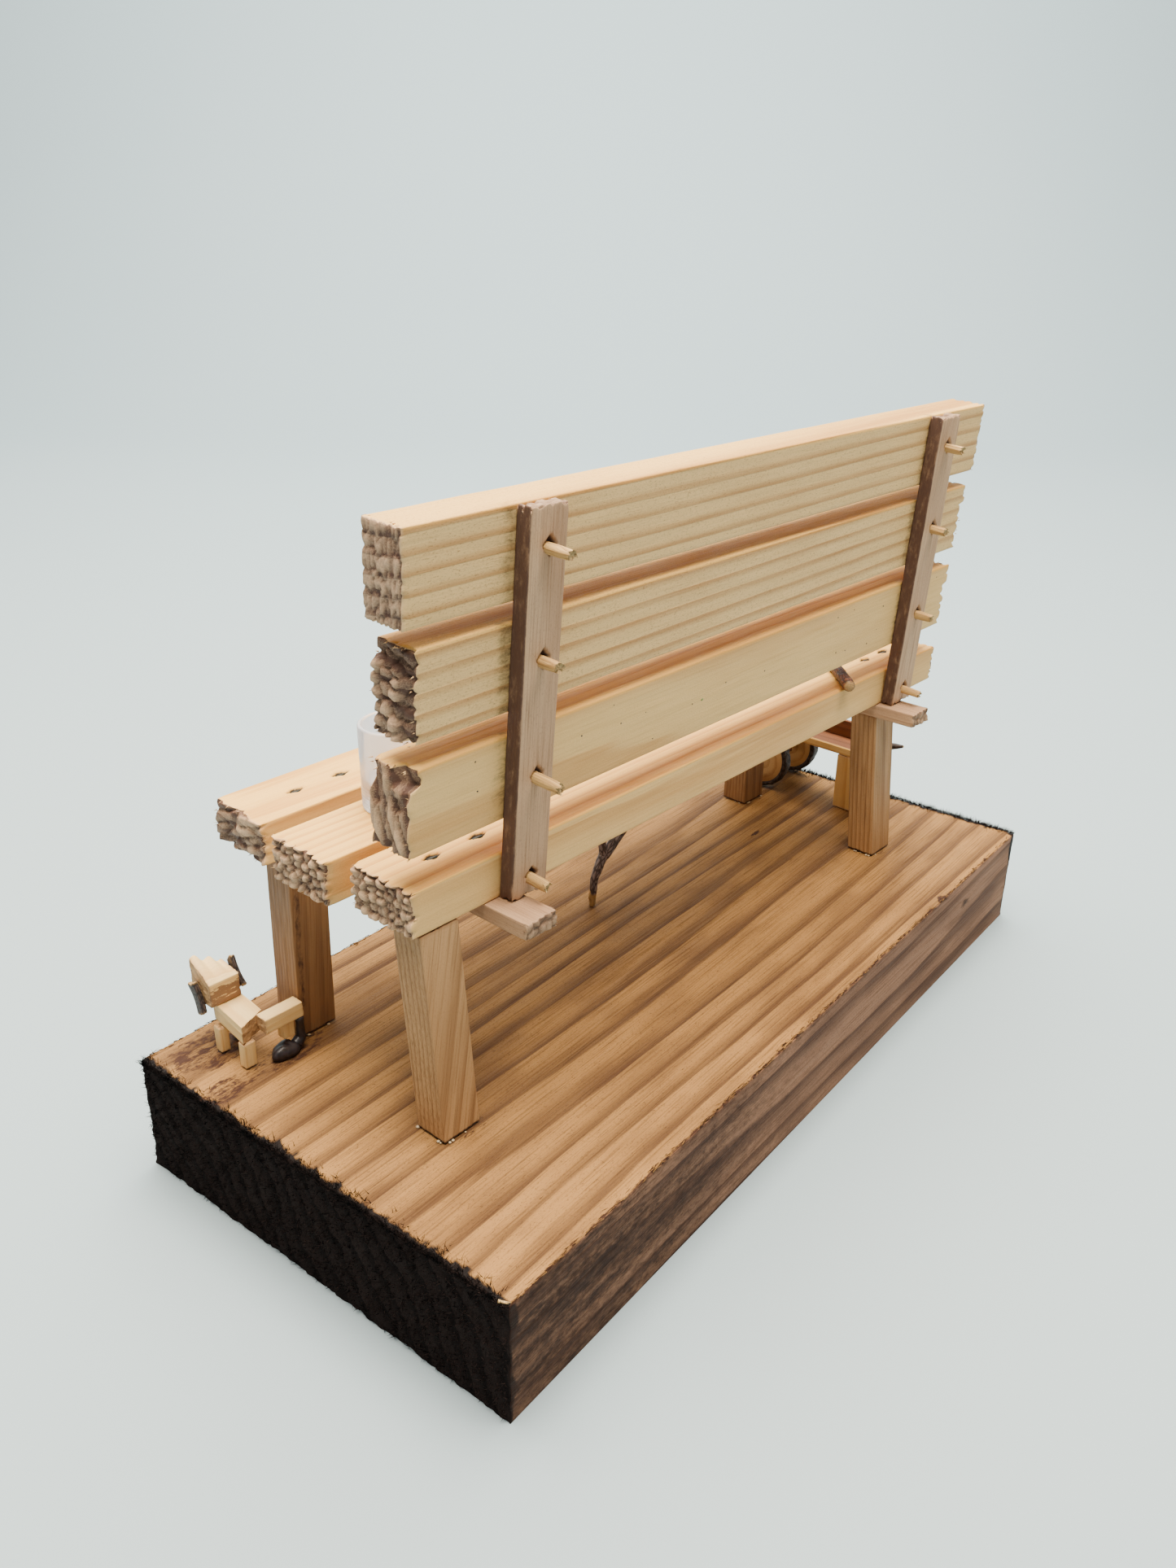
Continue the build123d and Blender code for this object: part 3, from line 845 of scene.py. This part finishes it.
def make_pegs():
    for side, first_seed in (("right", 60), ("left", 70)):
        shapes = []
        for seed, (x, z, start, end) in enumerate(peg_places(side), first_seed):
            rng = np.random.default_rng(seed)
            shapes.append(whittled(x, z, start + 0.3, end, 1.27, seed))
            roots = [(x + rng.uniform(-0.8, 0.8), end - 1.4, z + rng.uniform(-0.8, 0.8)) for _ in range(5)]
            ways = [(rng.uniform(-0.3, 0.3), 1, rng.uniform(-0.3, 0.3)) for _ in range(5)]
            lengths, widths = rng.uniform(0.9, 1.5, 5), rng.uniform(0.12, 0.25, 5)
            points, faces = slivers(roots, ways, lengths, widths, seed)
            shapes.append((points, faces, np.full(len(points), 0.6)))
        points, faces, ends = joined(shapes)
        marks = {"grain": points[:, [1, 0, 2]] + (0, 3.0, 2.0), "end": ends, "deep": ends * 0.4}
        piece(f"pegs_{side}", points, faces, BACK, PEG, [f"back_pegs_{side}"], marks)


# ---------------------------------------------------------------- plank

# The heart of the tree the plank was sawn from, and the room left for its torn end fibres
PLANK_PITH = (0.0, 150.0, 78.0)
PLANK_INSET = 0.9
# Torn fibres on each end, how many of them fringe its top edge, and splinters on the top
END_FIBRES, FRINGE_FIBRES = 9000, 3600
EDGE_SPLINTERS, TOP_FUZZ = 420, 900


def make_plank():
    low, high = extent("base_plank", PLANK)
    low = low + (PLANK_INSET, 0.1, 0)
    high = high - (PLANK_INSET, 0.1, 0.1)
    points, faces = lattice(
        stops(low[0], high[0], 3.0, [(low[0], 6, 0.6), (high[0], 6, 0.6)]),
        stops(low[1], high[1], 0.9),
        stops(low[2], high[2], 0.9),
    )
    grain = points.copy()
    edge = 0.7
    rounded, _, at_edge = softened(points, low, high, edge)
    points = np.where(at_edge & (grain[:, 2:3] > edge), rounded, points)
    saw = np.zeros_like(grain)
    saw[:, 1] = 0.62 * grain[:, 1] + 0.78 * grain[:, 2]
    ragged = 0.25 * (2 + noise_at(grain, (9, 0.8, 0.8), 91) + noise_at(grain, (9, 5, 3), 92))
    ragged += 0.18 * (1 + noise_at(saw, (1, 0.8, 1), 96))
    fray = 1.3 + 3.0 * np.clip(noise_at(grain, (30, 1.2, 9), 93), 0, 1)
    fray += 1.1 * noise_at(grain, (30, 9, 9), 95)
    ends = np.zeros(len(points))
    for side, face in ((-1, low[0]), (1, high[0])):
        away = np.abs(grain[:, 0] - face)
        points[:, 0] -= side * np.clip(1 - away / 5, 0, 1) ** 2 * ragged
        ends = np.maximum(ends, np.where(away < 1e-6, 1.0, smooth(fray - away, -0.3, 0.3)))
    top = grain[:, 2] > high[2] - 0.01
    flank = grain[:, 1] > high[1] - 0.01
    points[:, 2] += top * (0.10 * noise_at(grain, (30, 2.5, 4), 94) - 0.1)

    # Stains and scuffs: middle, radii, amount
    scuffs = [
        ((115, -50, high[2]), (13, 9, 1), 0.5),
        ((104, -34, high[2]), (12, 5, 1), 0.45),
        ((122, -34, high[2]), (8, 5, 1), 0.5),
        ((-72.6, -7.9, high[2]), (2.2, 0.9, 1), 0.9),
        ((-72.0, high[1] - 1, high[2]), (2.2, 1.5, 1.5), 0.9),
        ((-90.0, high[1], 22), (3.2, 1, 1.6), 0.9),
        ((0, high[1], high[2]), (150, 1.2, 1.8), 0.5),
        ((96, 20, high[2]), (22, 3, 1), 0.28),
    ]
    stained_and_shaded = flank * smooth(grain[:, 0], -60, 130) * (0.8 + 0.3 * noise_at(grain, (25, 9, 3), 97))
    for spot, radii, amount in scuffs:
        span = np.linalg.norm((grain - spot) / radii, axis=1)
        stained_and_shaded = np.maximum(stained_and_shaded, amount * smooth(1.2 - span, 0, 0.5))
    # Dark squares round each leg's foot on the plank's top: painted contact shadow.
    for name in LEG_NAMES:
        foot = leg_foot(name, PLANK)[:, :2].mean(0)
        span = np.abs((grain[:, :2] - foot) / 6.6).max(1)
        stained_and_shaded = np.maximum(stained_and_shaded, 0.32 * smooth(1.25 - span, 0, 0.4) * top)
    # Painted shadow of the bench on the plank, darkest under the seat's middle and left off the rear long
    # side.
    shaded = np.exp(-((grain[:, 0] - 5) / 60) ** 2 - ((grain[:, 1] - 26) / 26) ** 2)
    marks = {
        "grain": grain + PLANK_PITH,
        "end": np.clip(ends, 0, 1),
        "deep": np.where(ends > 0, 0.6, 0),
        "dark": stained_and_shaded,
        "painted_light": (0.15 + 0.75 * shaded) * ~flank,
    }
    middles = np.array([grain[face].mean(0) for face in faces])
    outside = np.abs(middles - (low + high) / 2) - (high - low) / 2 > -0.01
    choice = np.where(outside[:, 0], 2, np.where(outside[:, 1], 1, 0))
    piece("plank_wood", points, faces, PLANK, (STAINED, STAINED_SIDE, STAINED_END), ["base_plank"],
          marks, choice)


def make_plank_fibres():
    """Torn fibres that stand out of both sawn ends and up past their top edges."""
    low, high = extent("base_plank", PLANK)
    rng = np.random.default_rng(5)
    roots, ways, lengths, widths = [], [], [], []
    for side, face in ((1, high[0] - 1.5), (-1, low[0] + 1.5)):
        for number in range(END_FIBRES):
            y = rng.uniform(low[1] + 0.6, high[1] - 0.6)
            tuft = 0.5 + 0.5 * math.sin(y * 1.9 + 2.0 * math.sin(y * 0.7))
            if number < FRINGE_FIBRES:
                inward = abs(rng.normal(0, 1.3)) * (0.3 + tuft)
                roots.append((face + side * (0.6 - inward), y, high[2] - rng.uniform(0.3, 0.9)))
                ways.append((side * rng.uniform(-0.5, 0.9), rng.normal(0, 0.5), rng.uniform(0.2, 1.1)))
                lengths.append(rng.uniform(0.7, 1.5) + 1.3 * tuft)
            else:
                roots.append((face, y, rng.uniform(0.6, high[2] - 0.6)))
                ways.append((side, rng.normal(0, 0.8), rng.normal(0.35, 0.7)))
                lengths.append(rng.uniform(0.6, 1.8))
            widths.append(rng.uniform(0.05, 0.14))
    roots = np.array(roots)
    points, faces = slivers(roots, ways, lengths, widths, 6)
    points = np.clip(points, low + 0.02, high + (-0.02, -0.02, 1.6))
    fringe = roots[:, 2] > high[2] - 1.0
    across = roots[:, 1] / high[1]
    shade = np.clip(rng.uniform(0.1, 1.3, len(roots)) + 0.5 * fringe - 0.5 * across ** 3, 0, 1)
    marks = {"grain": points, "end": np.ones(len(points)), "deep": np.repeat(shade, 4)}
    piece("plank_fibres", points, faces, PLANK, STAINED_END, (), marks)


def make_plank_splinters():
    """Splinters lifted along the top's long edges, and short fuzz all over the top."""
    low, high = extent("base_plank", PLANK)
    rng = np.random.default_rng(15)
    roots, ways = [], []
    for edge_y, inward in ((high[1], -1), (low[1], 1)):
        for _ in range(EDGE_SPLINTERS):
            x = rng.uniform(low[0] + 4, high[0] - 3)
            roots.append((x, edge_y + inward * abs(rng.normal(0.5, 0.35)), high[2] - 0.25))
            ways.append((rng.choice((-1, 1)), rng.normal(0, 0.12), rng.uniform(0.02, 0.16)))
    lifted = len(roots)
    lengths = rng.uniform(0.8, 3.2, lifted)
    for _ in range(TOP_FUZZ):
        x, y = rng.uniform(low[0] + 4, high[0] - 4), rng.uniform(low[1] + 2, high[1] - 2)
        roots.append((x, y, high[2] - 0.25))
    for _ in range(TOP_FUZZ):
        ways.append((rng.choice((-1, 1)), rng.normal(0, 0.2), rng.uniform(0.05, 0.5)))
    lengths = np.concatenate([lengths, rng.uniform(0.5, 1.3, TOP_FUZZ)])
    widths = np.concatenate([rng.uniform(0.08, 0.2, lifted), rng.uniform(0.04, 0.08, TOP_FUZZ)])
    points, faces = slivers(roots, ways, lengths, widths, 16)
    points = np.clip(points, low + (0.02, 0.02, 0), high - (0.02, 0.02, -0.3))
    marks = {"grain": points + PLANK_PITH, "dark": np.repeat(rng.uniform(0, 1.0, len(roots)), 4)}
    piece("plank_splinters", points, faces, PLANK, STAINED, (), marks)


def make_plank_chip():
    """A pale chip that lies on the plank's corner."""
    low, high = extent("base_plank", PLANK)
    roots = [high + (-1.4 - 0.1 * k, -2.6 + 0.2 * k, -0.1) for k in range(5)]
    ways = [(-0.3, 1.0, 0.10 + 0.08 * k) for k in range(5)]
    points, faces = slivers(roots, ways, [1.9] * 5, [0.45] * 5, 17)
    points = np.clip(points, low, high + (-0.02, -0.02, 0.5))
    piece("plank_chip", points, faces, PLANK, DOG_WOOD, (), {"grain": points})


# ---------------------------------------------------------------- twigs and tubes

def tube(spine, radii, seed, rough):
    """A knobbly tube through the points, its ends closed and marked as cut wood."""
    around, rows, cut = 18, 10, 0.3
    spine = np.array(spine, float)
    path, sizes = [], []
    for i in range(len(spine) - 1):
        for k in range(rows):
            t = k / rows
            path.append(spine[i] * (1 - t) + spine[i + 1] * t)
            sizes.append(radii[i] * (1 - t) + radii[i + 1] * t)
    path.append(spine[-1])
    sizes.append(radii[-1])
    path = np.array(path)
    for _ in range(4):
        path[1:-1] = (path[:-2] + 2 * path[1:-1] + path[2:]) / 4
    ways = np.gradient(path, axis=0)
    ways /= np.linalg.norm(ways, axis=1, keepdims=True)
    side = np.cross(ways[0], (0.3, 0.5, 0.8))
    points, faces, ends, grain = [], [], [], []
    travel = 0.0
    for i, (centre, way, size) in enumerate(zip(path, ways, sizes)):
        if i:
            travel += np.linalg.norm(centre - path[i - 1])
        side = side - way * np.dot(side, way)
        side /= np.linalg.norm(side)
        other = np.cross(way, side)
        for k in range(around):
            angle = math.tau * k / around
            spoke = math.cos(angle) * side + math.sin(angle) * other
            points.append(centre + spoke * size)
            grain.append((travel, math.cos(angle) * size, math.sin(angle) * size))
            ends.append(0.0)
    points, grain = np.array(points), np.array(grain)
    centres = np.repeat(path, around, axis=0)
    swell = 1 + rough * noise_at(grain + seed * 13.0, (2.0, 1.2, 1.2), seed)
    swell += 0.5 * rough * noise_at(grain, 0.6, seed)
    points = centres + (points - centres) * swell[:, None]
    for i in range(len(path) - 1):
        for k in range(around):
            a, b = i * around + k, i * around + (k + 1) % around
            faces.append((a, b, b + around, a + around))
    extra, extra_grain = [], []
    for row, sign in ((0, -1), (len(path) - 1, 1)):
        rim = len(points) + len(extra)
        ring = points[row * around:(row + 1) * around]
        centre = path[row]
        extra += list(centre + (ring - centre) * 0.75 + ways[row] * sign * cut * sizes[row])
        extra.append(centre + ways[row] * sign * cut * sizes[row])
        extra_grain += [grain[row * around + k] for k in range(around)] + [grain[row * around] * (1, 0, 0)]
        for k in range(around):
            a, b = row * around + k, row * around + (k + 1) % around
            c, d = rim + k, rim + (k + 1) % around
            quad, fan = (a, b, d, c), (c, d, rim + around)
            faces.append(quad if sign > 0 else quad[::-1])
            faces.append(fan if sign > 0 else fan[::-1])
        ends += [0.8] * around + [1.0]
    points = np.concatenate([points, np.array(extra)])
    return points, faces, np.array(ends), np.concatenate([grain, np.array(extra_grain)]) + (seed * 29.0, 0, 0)


def tube_piece(name, spine, radii, material, nodes, seed, rough=0.10, peeled=0.0):
    points, faces, ends, grain = tube(spine, radii, seed, rough)
    bared = peeled + 0.5 * noise_at(points, 0.9, seed) - (grain[:, 0] - seed * 29.0)
    ends = np.maximum(ends, smooth(bared, -0.2, 0.2) if peeled else 0.0)
    marks = {"grain": grain, "end": ends, "deep": 0.3 * ends}
    piece(name, points, faces, BENCH, material, nodes, marks)


def make_stick():
    corners = cad_points("seat_stick", BENCH)
    radius = (corners[:, 2].max() - corners[:, 2].min()) / 2
    rear = corners[corners[:, 1] > corners[:, 1].max() - 2 * radius].mean(0)
    front = corners[corners[:, 1] < corners[:, 1].min() + 2 * radius].mean(0)
    sag = (rear + front) / 2 + (0.5, -0.4, 0)
    spine, radii = [rear, sag, front], [radius * 0.93] * 3
    tube_piece("seat_stick_bark", spine, radii, STICK, ["seat_stick"], 3)


def make_twig():
    trunk = [(1.8, -20.4, 32.3), (1.4, -20.2, 41.0), (-1.6, -19.0, 49.0)]
    left = [(-1.6, -19.0, 48.0), (-9.0, -15.0, 60.0), (-12.0, -12.6, 72.0), (-12.4, -12.4, 83.4)]
    right = [(-1.6, -19.0, 48.0), (3.0, -17.5, 62.0), (4.0, -14.0, 74.0), (4.2, -13.0, 83.4)]
    tube_piece("twig_trunk", trunk, [0.95, 1.2, 1.6], TWIG, ["forked_twig"], 4, peeled=4.2)
    tube_piece("twig_left", left, [1.5, 1.5, 1.4, 1.4], TWIG, ["forked_twig"], 5)
    tube_piece("twig_right", right, [1.3, 1.2, 1.1, 1.1], TWIG, ["forked_twig"], 6)
    split = [(1.9, -20.3, 32.5), (2.5, -20.6, 35.0), (2.3, -20.4, 37.6)]
    tube_piece("twig_split", split, [0.35, 0.6, 0.3], TWIG, (), 7, peeled=9.0)


# ---------------------------------------------------------------- dog, tumbler, cart

DOG_PITH = (9.0, 20.0)
# How far an ear's tips curl, and half its length
EAR_CURL, EAR_HALF = 0.5, 4.6


def make_dog_body():
    """The dog's body follows its slanted plan, so it is a strip bent to the CAD solid's corners."""
    place = BENCH @ ACROSS
    corners = cad_points("dog_body", place)
    low, high = extent("dog_body", place)
    obj = strip("dog_body", place, DOG_WOOD, ("sawn", "sawn"), DOG_PITH, 41,
                step=0.4, edge=0.3, wear=0.12)
    rims = []
    for side in (-1, 1):
        rim = corners[corners[:, 1] * side > (high[1] + low[1]) / 2 * side]
        first, last = rim[rim[:, 0].argmin()], rim[rim[:, 0].argmax()]
        rims.append((first[0], last[0], first[1], last[1]))
    for vertex in obj.data.vertices:
        x, y = vertex.co.x / MM, vertex.co.y / MM
        t = (x - low[0]) / (high[0] - low[0])
        w = (y - low[1]) / (high[1] - low[1])
        start = rims[0][0] * (1 - w) + rims[1][0] * w
        stop = rims[0][1] * (1 - w) + rims[1][1] * w
        near = rims[0][2] * (1 - t) + rims[0][3] * t
        far = rims[1][2] * (1 - t) + rims[1][3] * t
        vertex.co.x = (start * (1 - t) + stop * t) * MM
        vertex.co.y = (near * (1 - w) + far * w) * MM


def make_dog_head():
    """The head's torn top rises to three lobes at its front edge, tallest on the right."""
    low, high = extent("dog_head", BENCH)
    rear_height = 6.4
    # The head's rear face is darkened: painted shade on the side turned from the light.
    rear = ((low[0] + high[0]) / 2, high[1], low[2] + 1.5)
    stains_and_shadows = [(rear, (30.0, 0.5, 6.5), 0.5)]
    obj = strip("dog_head", BENCH, DOG_WOOD, ("sawn", "sawn"), DOG_PITH, 42,
                step=0.35, edge=0.35, wear=0.08, stains_and_shadows=stains_and_shadows)
    for vertex in obj.data.vertices:
        x, y, z = (c / MM for c in vertex.co)
        across = (x - low[0]) / (high[0] - low[0])
        forward = np.clip((high[1] - y) / (high[1] - low[1]), 0, 1)
        lobes = 0.7 * forward * (1 + math.cos(across * math.tau * 2.3 + 0.9))
        top = rear_height + forward * (4.9 * across - 0.2) + lobes
        vertex.co.z = (low[2] + (z - low[2]) / (high[2] - low[2]) * top) * MM


def make_dog():
    make_dog_body()
    make_dog_head()
    blocks = {
        "dog_muzzle": (ACROSS, ("rough", "sawn")),
        "dog_foreleg_right": (UP, ("sawn", "sawn")),
        "dog_foreleg_left": (UP, ("sawn", "sawn")),
        "dog_hind_leg": (UP, ("sawn", "sawn")),
        "dog_lifted_leg": (Matrix.Identity(4), ("sawn", "sawn")),
        "dog_shin": (UP, ("sawn", "sawn")),
    }
    for seed, (name, (turn, tears)) in enumerate(blocks.items(), 43):
        strip(name, BENCH @ turn, DOG_WOOD, tears, DOG_PITH, seed,
              step=0.4, edge=0.3, wear=0.08)
    for seed, (side, tilt) in enumerate((("right", 22.0), ("left", 32.0)), 51):
        name = f"dog_ear_{side}"
        place = BENCH @ turned("X", tilt) @ UP
        obj = strip(name, place, DARK_BARK, ("rough", "rough"), DOG_PITH, seed,
                    ending="bark", step=0.35, wear=0.12)
        middle = Vector(np.mean(extent(name, place), axis=0)) * MM
        for vertex in obj.data.vertices:
            away = vertex.co - middle
            away.z -= EAR_CURL * MM * (away.x / (EAR_HALF * MM)) ** 2 * (1 if side == "right" else -1)
            vertex.co = middle + away


def lathe(outline, around):
    """A closed turned shape: the outline is (radius, height) from the bottom centre to the top centre."""
    points, faces, rows = [], [], []
    for radius, height in outline:
        if radius < 1e-6:
            rows.append([len(points)] * around)
            points.append((0.0, 0.0, height))
            continue
        rows.append(list(range(len(points), len(points) + around)))
        for k in range(around):
            angle = math.tau * k / around
            points.append((radius * math.cos(angle), radius * math.sin(angle), height))
    for lower, upper in zip(rows, rows[1:]):
        for k in range(around):
            after = (k + 1) % around
            face = tuple(dict.fromkeys((lower[k], lower[after], upper[after], upper[k])))
            if len(face) > 2:
                faces.append(face)
    return np.array(points), faces


def make_tumbler():
    low, high = extent("tumbler", BENCH)
    radius = (high[0] - low[0]) / 2
    height = high[2] - low[2]
    foot, wall, rings, pitch = 6.4, 0.9, 8, 0.8
    outline = [(0, 0.0), (radius * 0.7, 0.0), (radius - 0.5, 0.02), (radius - 0.2, 0.3)]
    for i in range(rings):
        z = 0.45 + pitch * i
        outline += [(radius - 0.30, z), (radius - 0.08, z + pitch * 0.4), (radius - 0.08, z + pitch * 0.6)]
    outline += [(radius - 0.05, foot + 1.2), (radius, height - 0.5), (radius - 0.15, height - 0.1)]
    outline += [(radius - wall / 2, height), (radius - wall + 0.1, height - 0.15)]
    outline += [(radius - wall, height - 0.6)]
    for i in range(7):
        angle = math.radians(90 * i / 6)
        outline.append((radius - wall - 2.0 * (1 - math.cos(angle)), foot + 2.0 * (1 - math.sin(angle))))
    outline += [(radius * 0.3, foot - 0.1), (0, foot - 0.1)]
    centre = ((low[0] + high[0]) / 2, (low[1] + high[1]) / 2, low[2])
    points, faces = lathe(outline, 96)
    points += centre
    piece("tumbler_glass", points, faces, BENCH, CLEAR, ["tumbler"], {"grain": points})


# The pool's middle on the bench's plan, its radii and its height
POOL_MIDDLE = (107.0, -27.4)
POOL_SIZE = (3.7, 2.75, 3.0)


def make_puddle():
    corners = cad_points("dog_puddle", BENCH)
    low, high = corners.min(0), corners.max(0)
    foot = corners[corners[:, 2] > high[2] - 0.3].mean(0)
    bend = (foot[0], foot[1], low[2] + 2.4)
    stream = [foot - (0, 0, 0.3), bend, (foot[0] + 1.6, foot[1] + 0.4, low[2] + 1.1)]
    tube_piece("puddle_stream", stream, [1.1, 1.3, 1.6], RESIN, ["dog_puddle"], 8, rough=0.15)
    outline = [(0, 0.0), (0.85, 0.0), (1.0, 0.12), (1.0, 0.35)]
    outline += [(0.92, 0.62), (0.7, 0.86), (0.35, 0.97), (0, 1.0)]
    points, faces = lathe(outline, 40)
    angle = np.arctan2(points[:, 1], points[:, 0])
    lobes = 1 + 0.07 * np.sin(3 * angle + 0.5) + 0.04 * np.sin(5 * angle)
    points[:, 0] *= POOL_SIZE[0] * lobes
    points[:, 1] *= POOL_SIZE[1] * lobes
    points[:, 2] *= POOL_SIZE[2] + 0.3 * np.sin(2 * angle)
    points += (*POOL_MIDDLE, low[2])
    piece("puddle_pool", points, faces, BENCH, RESIN, ["dog_puddle"], {"grain": points})


def make_wheel(side):
    low, high = extent(f"cart_tyre_{side}", BENCH)
    radius = (high[2] - low[2]) / 2
    centre = (low + high) / 2
    width = high[0] - low[0]
    spin = BENCH @ moved(*centre) @ turned("Y", 90)
    bark_in = radius - 2.0
    half = width / 2
    disc = [(0, -half + 0.1), (bark_in * 0.6, -half + 0.05), (bark_in - 0.1, -half), (bark_in, -half + 0.2)]
    disc += [(bark_in, half - 0.2), (bark_in - 0.1, half), (bark_in * 0.6, half - 0.05), (0, half - 0.1)]
    points, faces = lathe(disc, 64)
    grain = points[:, [2, 0, 1]]
    ends = (np.abs(points[:, 2]) > half - 0.25).astype(float)
    marks = {"grain": grain, "end": 0.35 * ends}
    piece(f"cart_wheel_{side}_wood", points, faces, spin, PALE, [f"cart_wheel_{side}"], marks)
    rim = [(bark_in, -half + 0.05), (radius - 0.3, -half), (radius - 0.05, -half + 0.4), (radius - 0.1, 0)]
    rim += [(radius - 0.05, half - 0.4), (radius - 0.3, half), (bark_in, half - 0.05)]
    rim += [(bark_in, -half + 0.05)]
    points, faces = lathe(rim, 96)
    spread = np.linalg.norm(points[:, :2], axis=1)
    rough = 1 - 0.03 * (1 + noise_at(points, (1.2, 1.2, 1.5), 77)) * (spread > bark_in + 0.5)
    points[:, :2] *= rough[:, None]
    piece(f"cart_tyre_{side}_bark", points, faces, spin, DARK_BARK, [f"cart_tyre_{side}"],
          {"grain": points})


def make_cart():
    boards = {
        "cart_floor": (ACROSS, BROWN, "brown_stripwood"),
        "cart_side_right": (ACROSS, PALE, "pale_spruce"),
        "cart_side_left": (ACROSS, BROWN, "brown_stripwood"),
        "cart_end_front": (Matrix.Identity(4), BROWN, "brown_stripwood"),
        "cart_end_rear": (Matrix.Identity(4), BROWN, "brown_stripwood"),
        "cart_axle_block": (Matrix.Identity(4), BROWN, "brown_stripwood"),
        "cart_leg": (UP, PALE, "pale_spruce"),
    }
    for seed, (name, (turn, material, slot_name)) in enumerate(boards.items(), 71):
        strip(name, BENCH @ turn, material, ("sawn", "sawn"), (11.0, 17.0), seed,
              step=0.7, edge=0.25)
    for side in ("right", "left"):
        make_wheel(side)
        corners = cad_points(f"cart_handle_{side}", BENCH)
        thick = corners[corners[:, 1] < corners[:, 1].min() + 0.6].mean(0)
        tip = corners[corners[:, 1] > corners[:, 1].max() - 0.6].mean(0)
        tube_piece(f"cart_handle_{side}_bark", [thick, (thick + tip) / 2, tip], [1.3, 1.0, 0.45], DARK_BARK,
                   [f"cart_handle_{side}"], 9)
    low, high = extent("cart_axle", BENCH)
    centre = (low + high) / 2
    ends = [(low[0] + 0.4, centre[1], centre[2]), tuple(centre), (high[0] - 0.4, centre[1], centre[2])]
    tube_piece("cart_axle_bark", ends, [1.1] * 3, DARK_BARK, ["cart_axle"], 10)


# ---------------------------------------------------------------- light, floor, camera

def make_stage():
    """A pale sheet that curves up behind the object, under soft light from above."""
    points, faces = [], []
    profile = [(3.0, 0.0), (-1.0, 0.0)]
    for i in range(1, 13):
        angle = math.radians(90 * i / 12)
        profile.append((-1.0 - 0.6 * math.sin(angle), 0.6 * (1 - math.cos(angle))))
    profile.append((-1.6, 3.0))
    away = turned("Z", 128)
    for along, height in profile:
        for across in (-4.0, 4.0):
            points.append(away @ Vector((across, -along, height)))
    for i in range(len(profile) - 1):
        faces.append((2 * i, 2 * i + 1, 2 * i + 3, 2 * i + 2))
    mesh = bpy.data.meshes.new("backdrop")
    mesh.from_pydata(points, [], faces)
    mesh.shade_smooth()
    material, tree, bsdf = shader("paper_white")
    place = node(tree, "TexCoord").outputs["Object"]
    cloud = noise_node(tree, place, 1.5, 2.0)
    colour = mixed(tree, cloud, linear(152, 169, 176), linear(158, 175, 180))
    tree.links.new(colour, bsdf.inputs["Base Color"])
    bsdf.inputs["Roughness"].default_value = 0.7
    mesh.materials.append(material)
    obj = bpy.data.objects.new("backdrop", mesh)
    bpy.context.scene.collection.objects.link(obj)


def area_light(name, place, aim, size, power, colour):
    light = bpy.data.lights.new(name, "AREA")
    light.shape = "RECTANGLE"
    light.size, light.size_y = size
    light.energy = power
    light.color = colour
    obj = bpy.data.objects.new(name, light)
    obj.location = place
    obj.rotation_euler = (Vector(aim) - Vector(place)).to_track_quat("-Z", "Y").to_euler()
    bpy.context.scene.collection.objects.link(obj)


def make_lights():
    world = bpy.data.worlds.new("tent")
    world.use_nodes = True
    background = world.node_tree.nodes["Background"]
    background.inputs["Color"].default_value = (0.96, 0.98, 1.0, 1)
    background.inputs["Strength"].default_value = 0.32
    bpy.context.scene.world = world
    area_light("top", (-0.02, -0.04, 1.1), (0, 0, 0.05), (1.0, 1.0), 68.0, (1.0, 0.90, 0.77))
    area_light("backdrop", (-0.75, -0.6, 1.25), (-1.3, -1.05, 0.4), (1.6, 0.6), 47.0, (1.0, 1.0, 0.93))


# The camera's place in metres, its azimuth, elevation and roll in degrees, and its focal length
# as a share of the frame's height
CAMERA_PLACE = (0.2563, 0.1764, 0.2208)
CAMERA_ANGLES = (127.89, 24.73, 0.845)
CAMERA_FOCAL = 1525.3 / 1927


def make_camera():
    """The camera looks along the plank from behind the bench, a little above it."""
    azimuth, elevation, roll = (math.radians(a) for a in CAMERA_ANGLES)
    right = Vector((math.cos(azimuth), math.sin(azimuth), 0))
    up = Vector((-math.sin(elevation) * math.sin(azimuth), math.sin(elevation) * math.cos(azimuth),
                 math.cos(elevation)))
    back = right.cross(up)
    rolled_right = math.cos(roll) * right + math.sin(roll) * up
    rolled_up = math.cos(roll) * up - math.sin(roll) * right
    data = bpy.data.cameras.new("camera")
    data.sensor_width = 36.0
    data.lens = data.sensor_width * CAMERA_FOCAL
    data.clip_start = 0.01
    camera = bpy.data.objects.new("camera", data)
    turn = Matrix((rolled_right, rolled_up, back)).transposed().to_4x4()
    camera.matrix_world = Matrix.Translation(CAMERA_PLACE) @ turn
    bpy.context.scene.collection.objects.link(camera)
    bpy.context.scene.camera = camera


make_camera()
make_plank()
make_plank_fibres()
make_plank_splinters()
make_plank_chip()
make_legs()
make_glue()
make_slats()
make_brads()
make_flecks()
make_uprights()
make_pegs()
make_stick()
make_twig()
make_dog()
make_puddle()
make_tumbler()
make_cart()
make_stage()
make_lights()
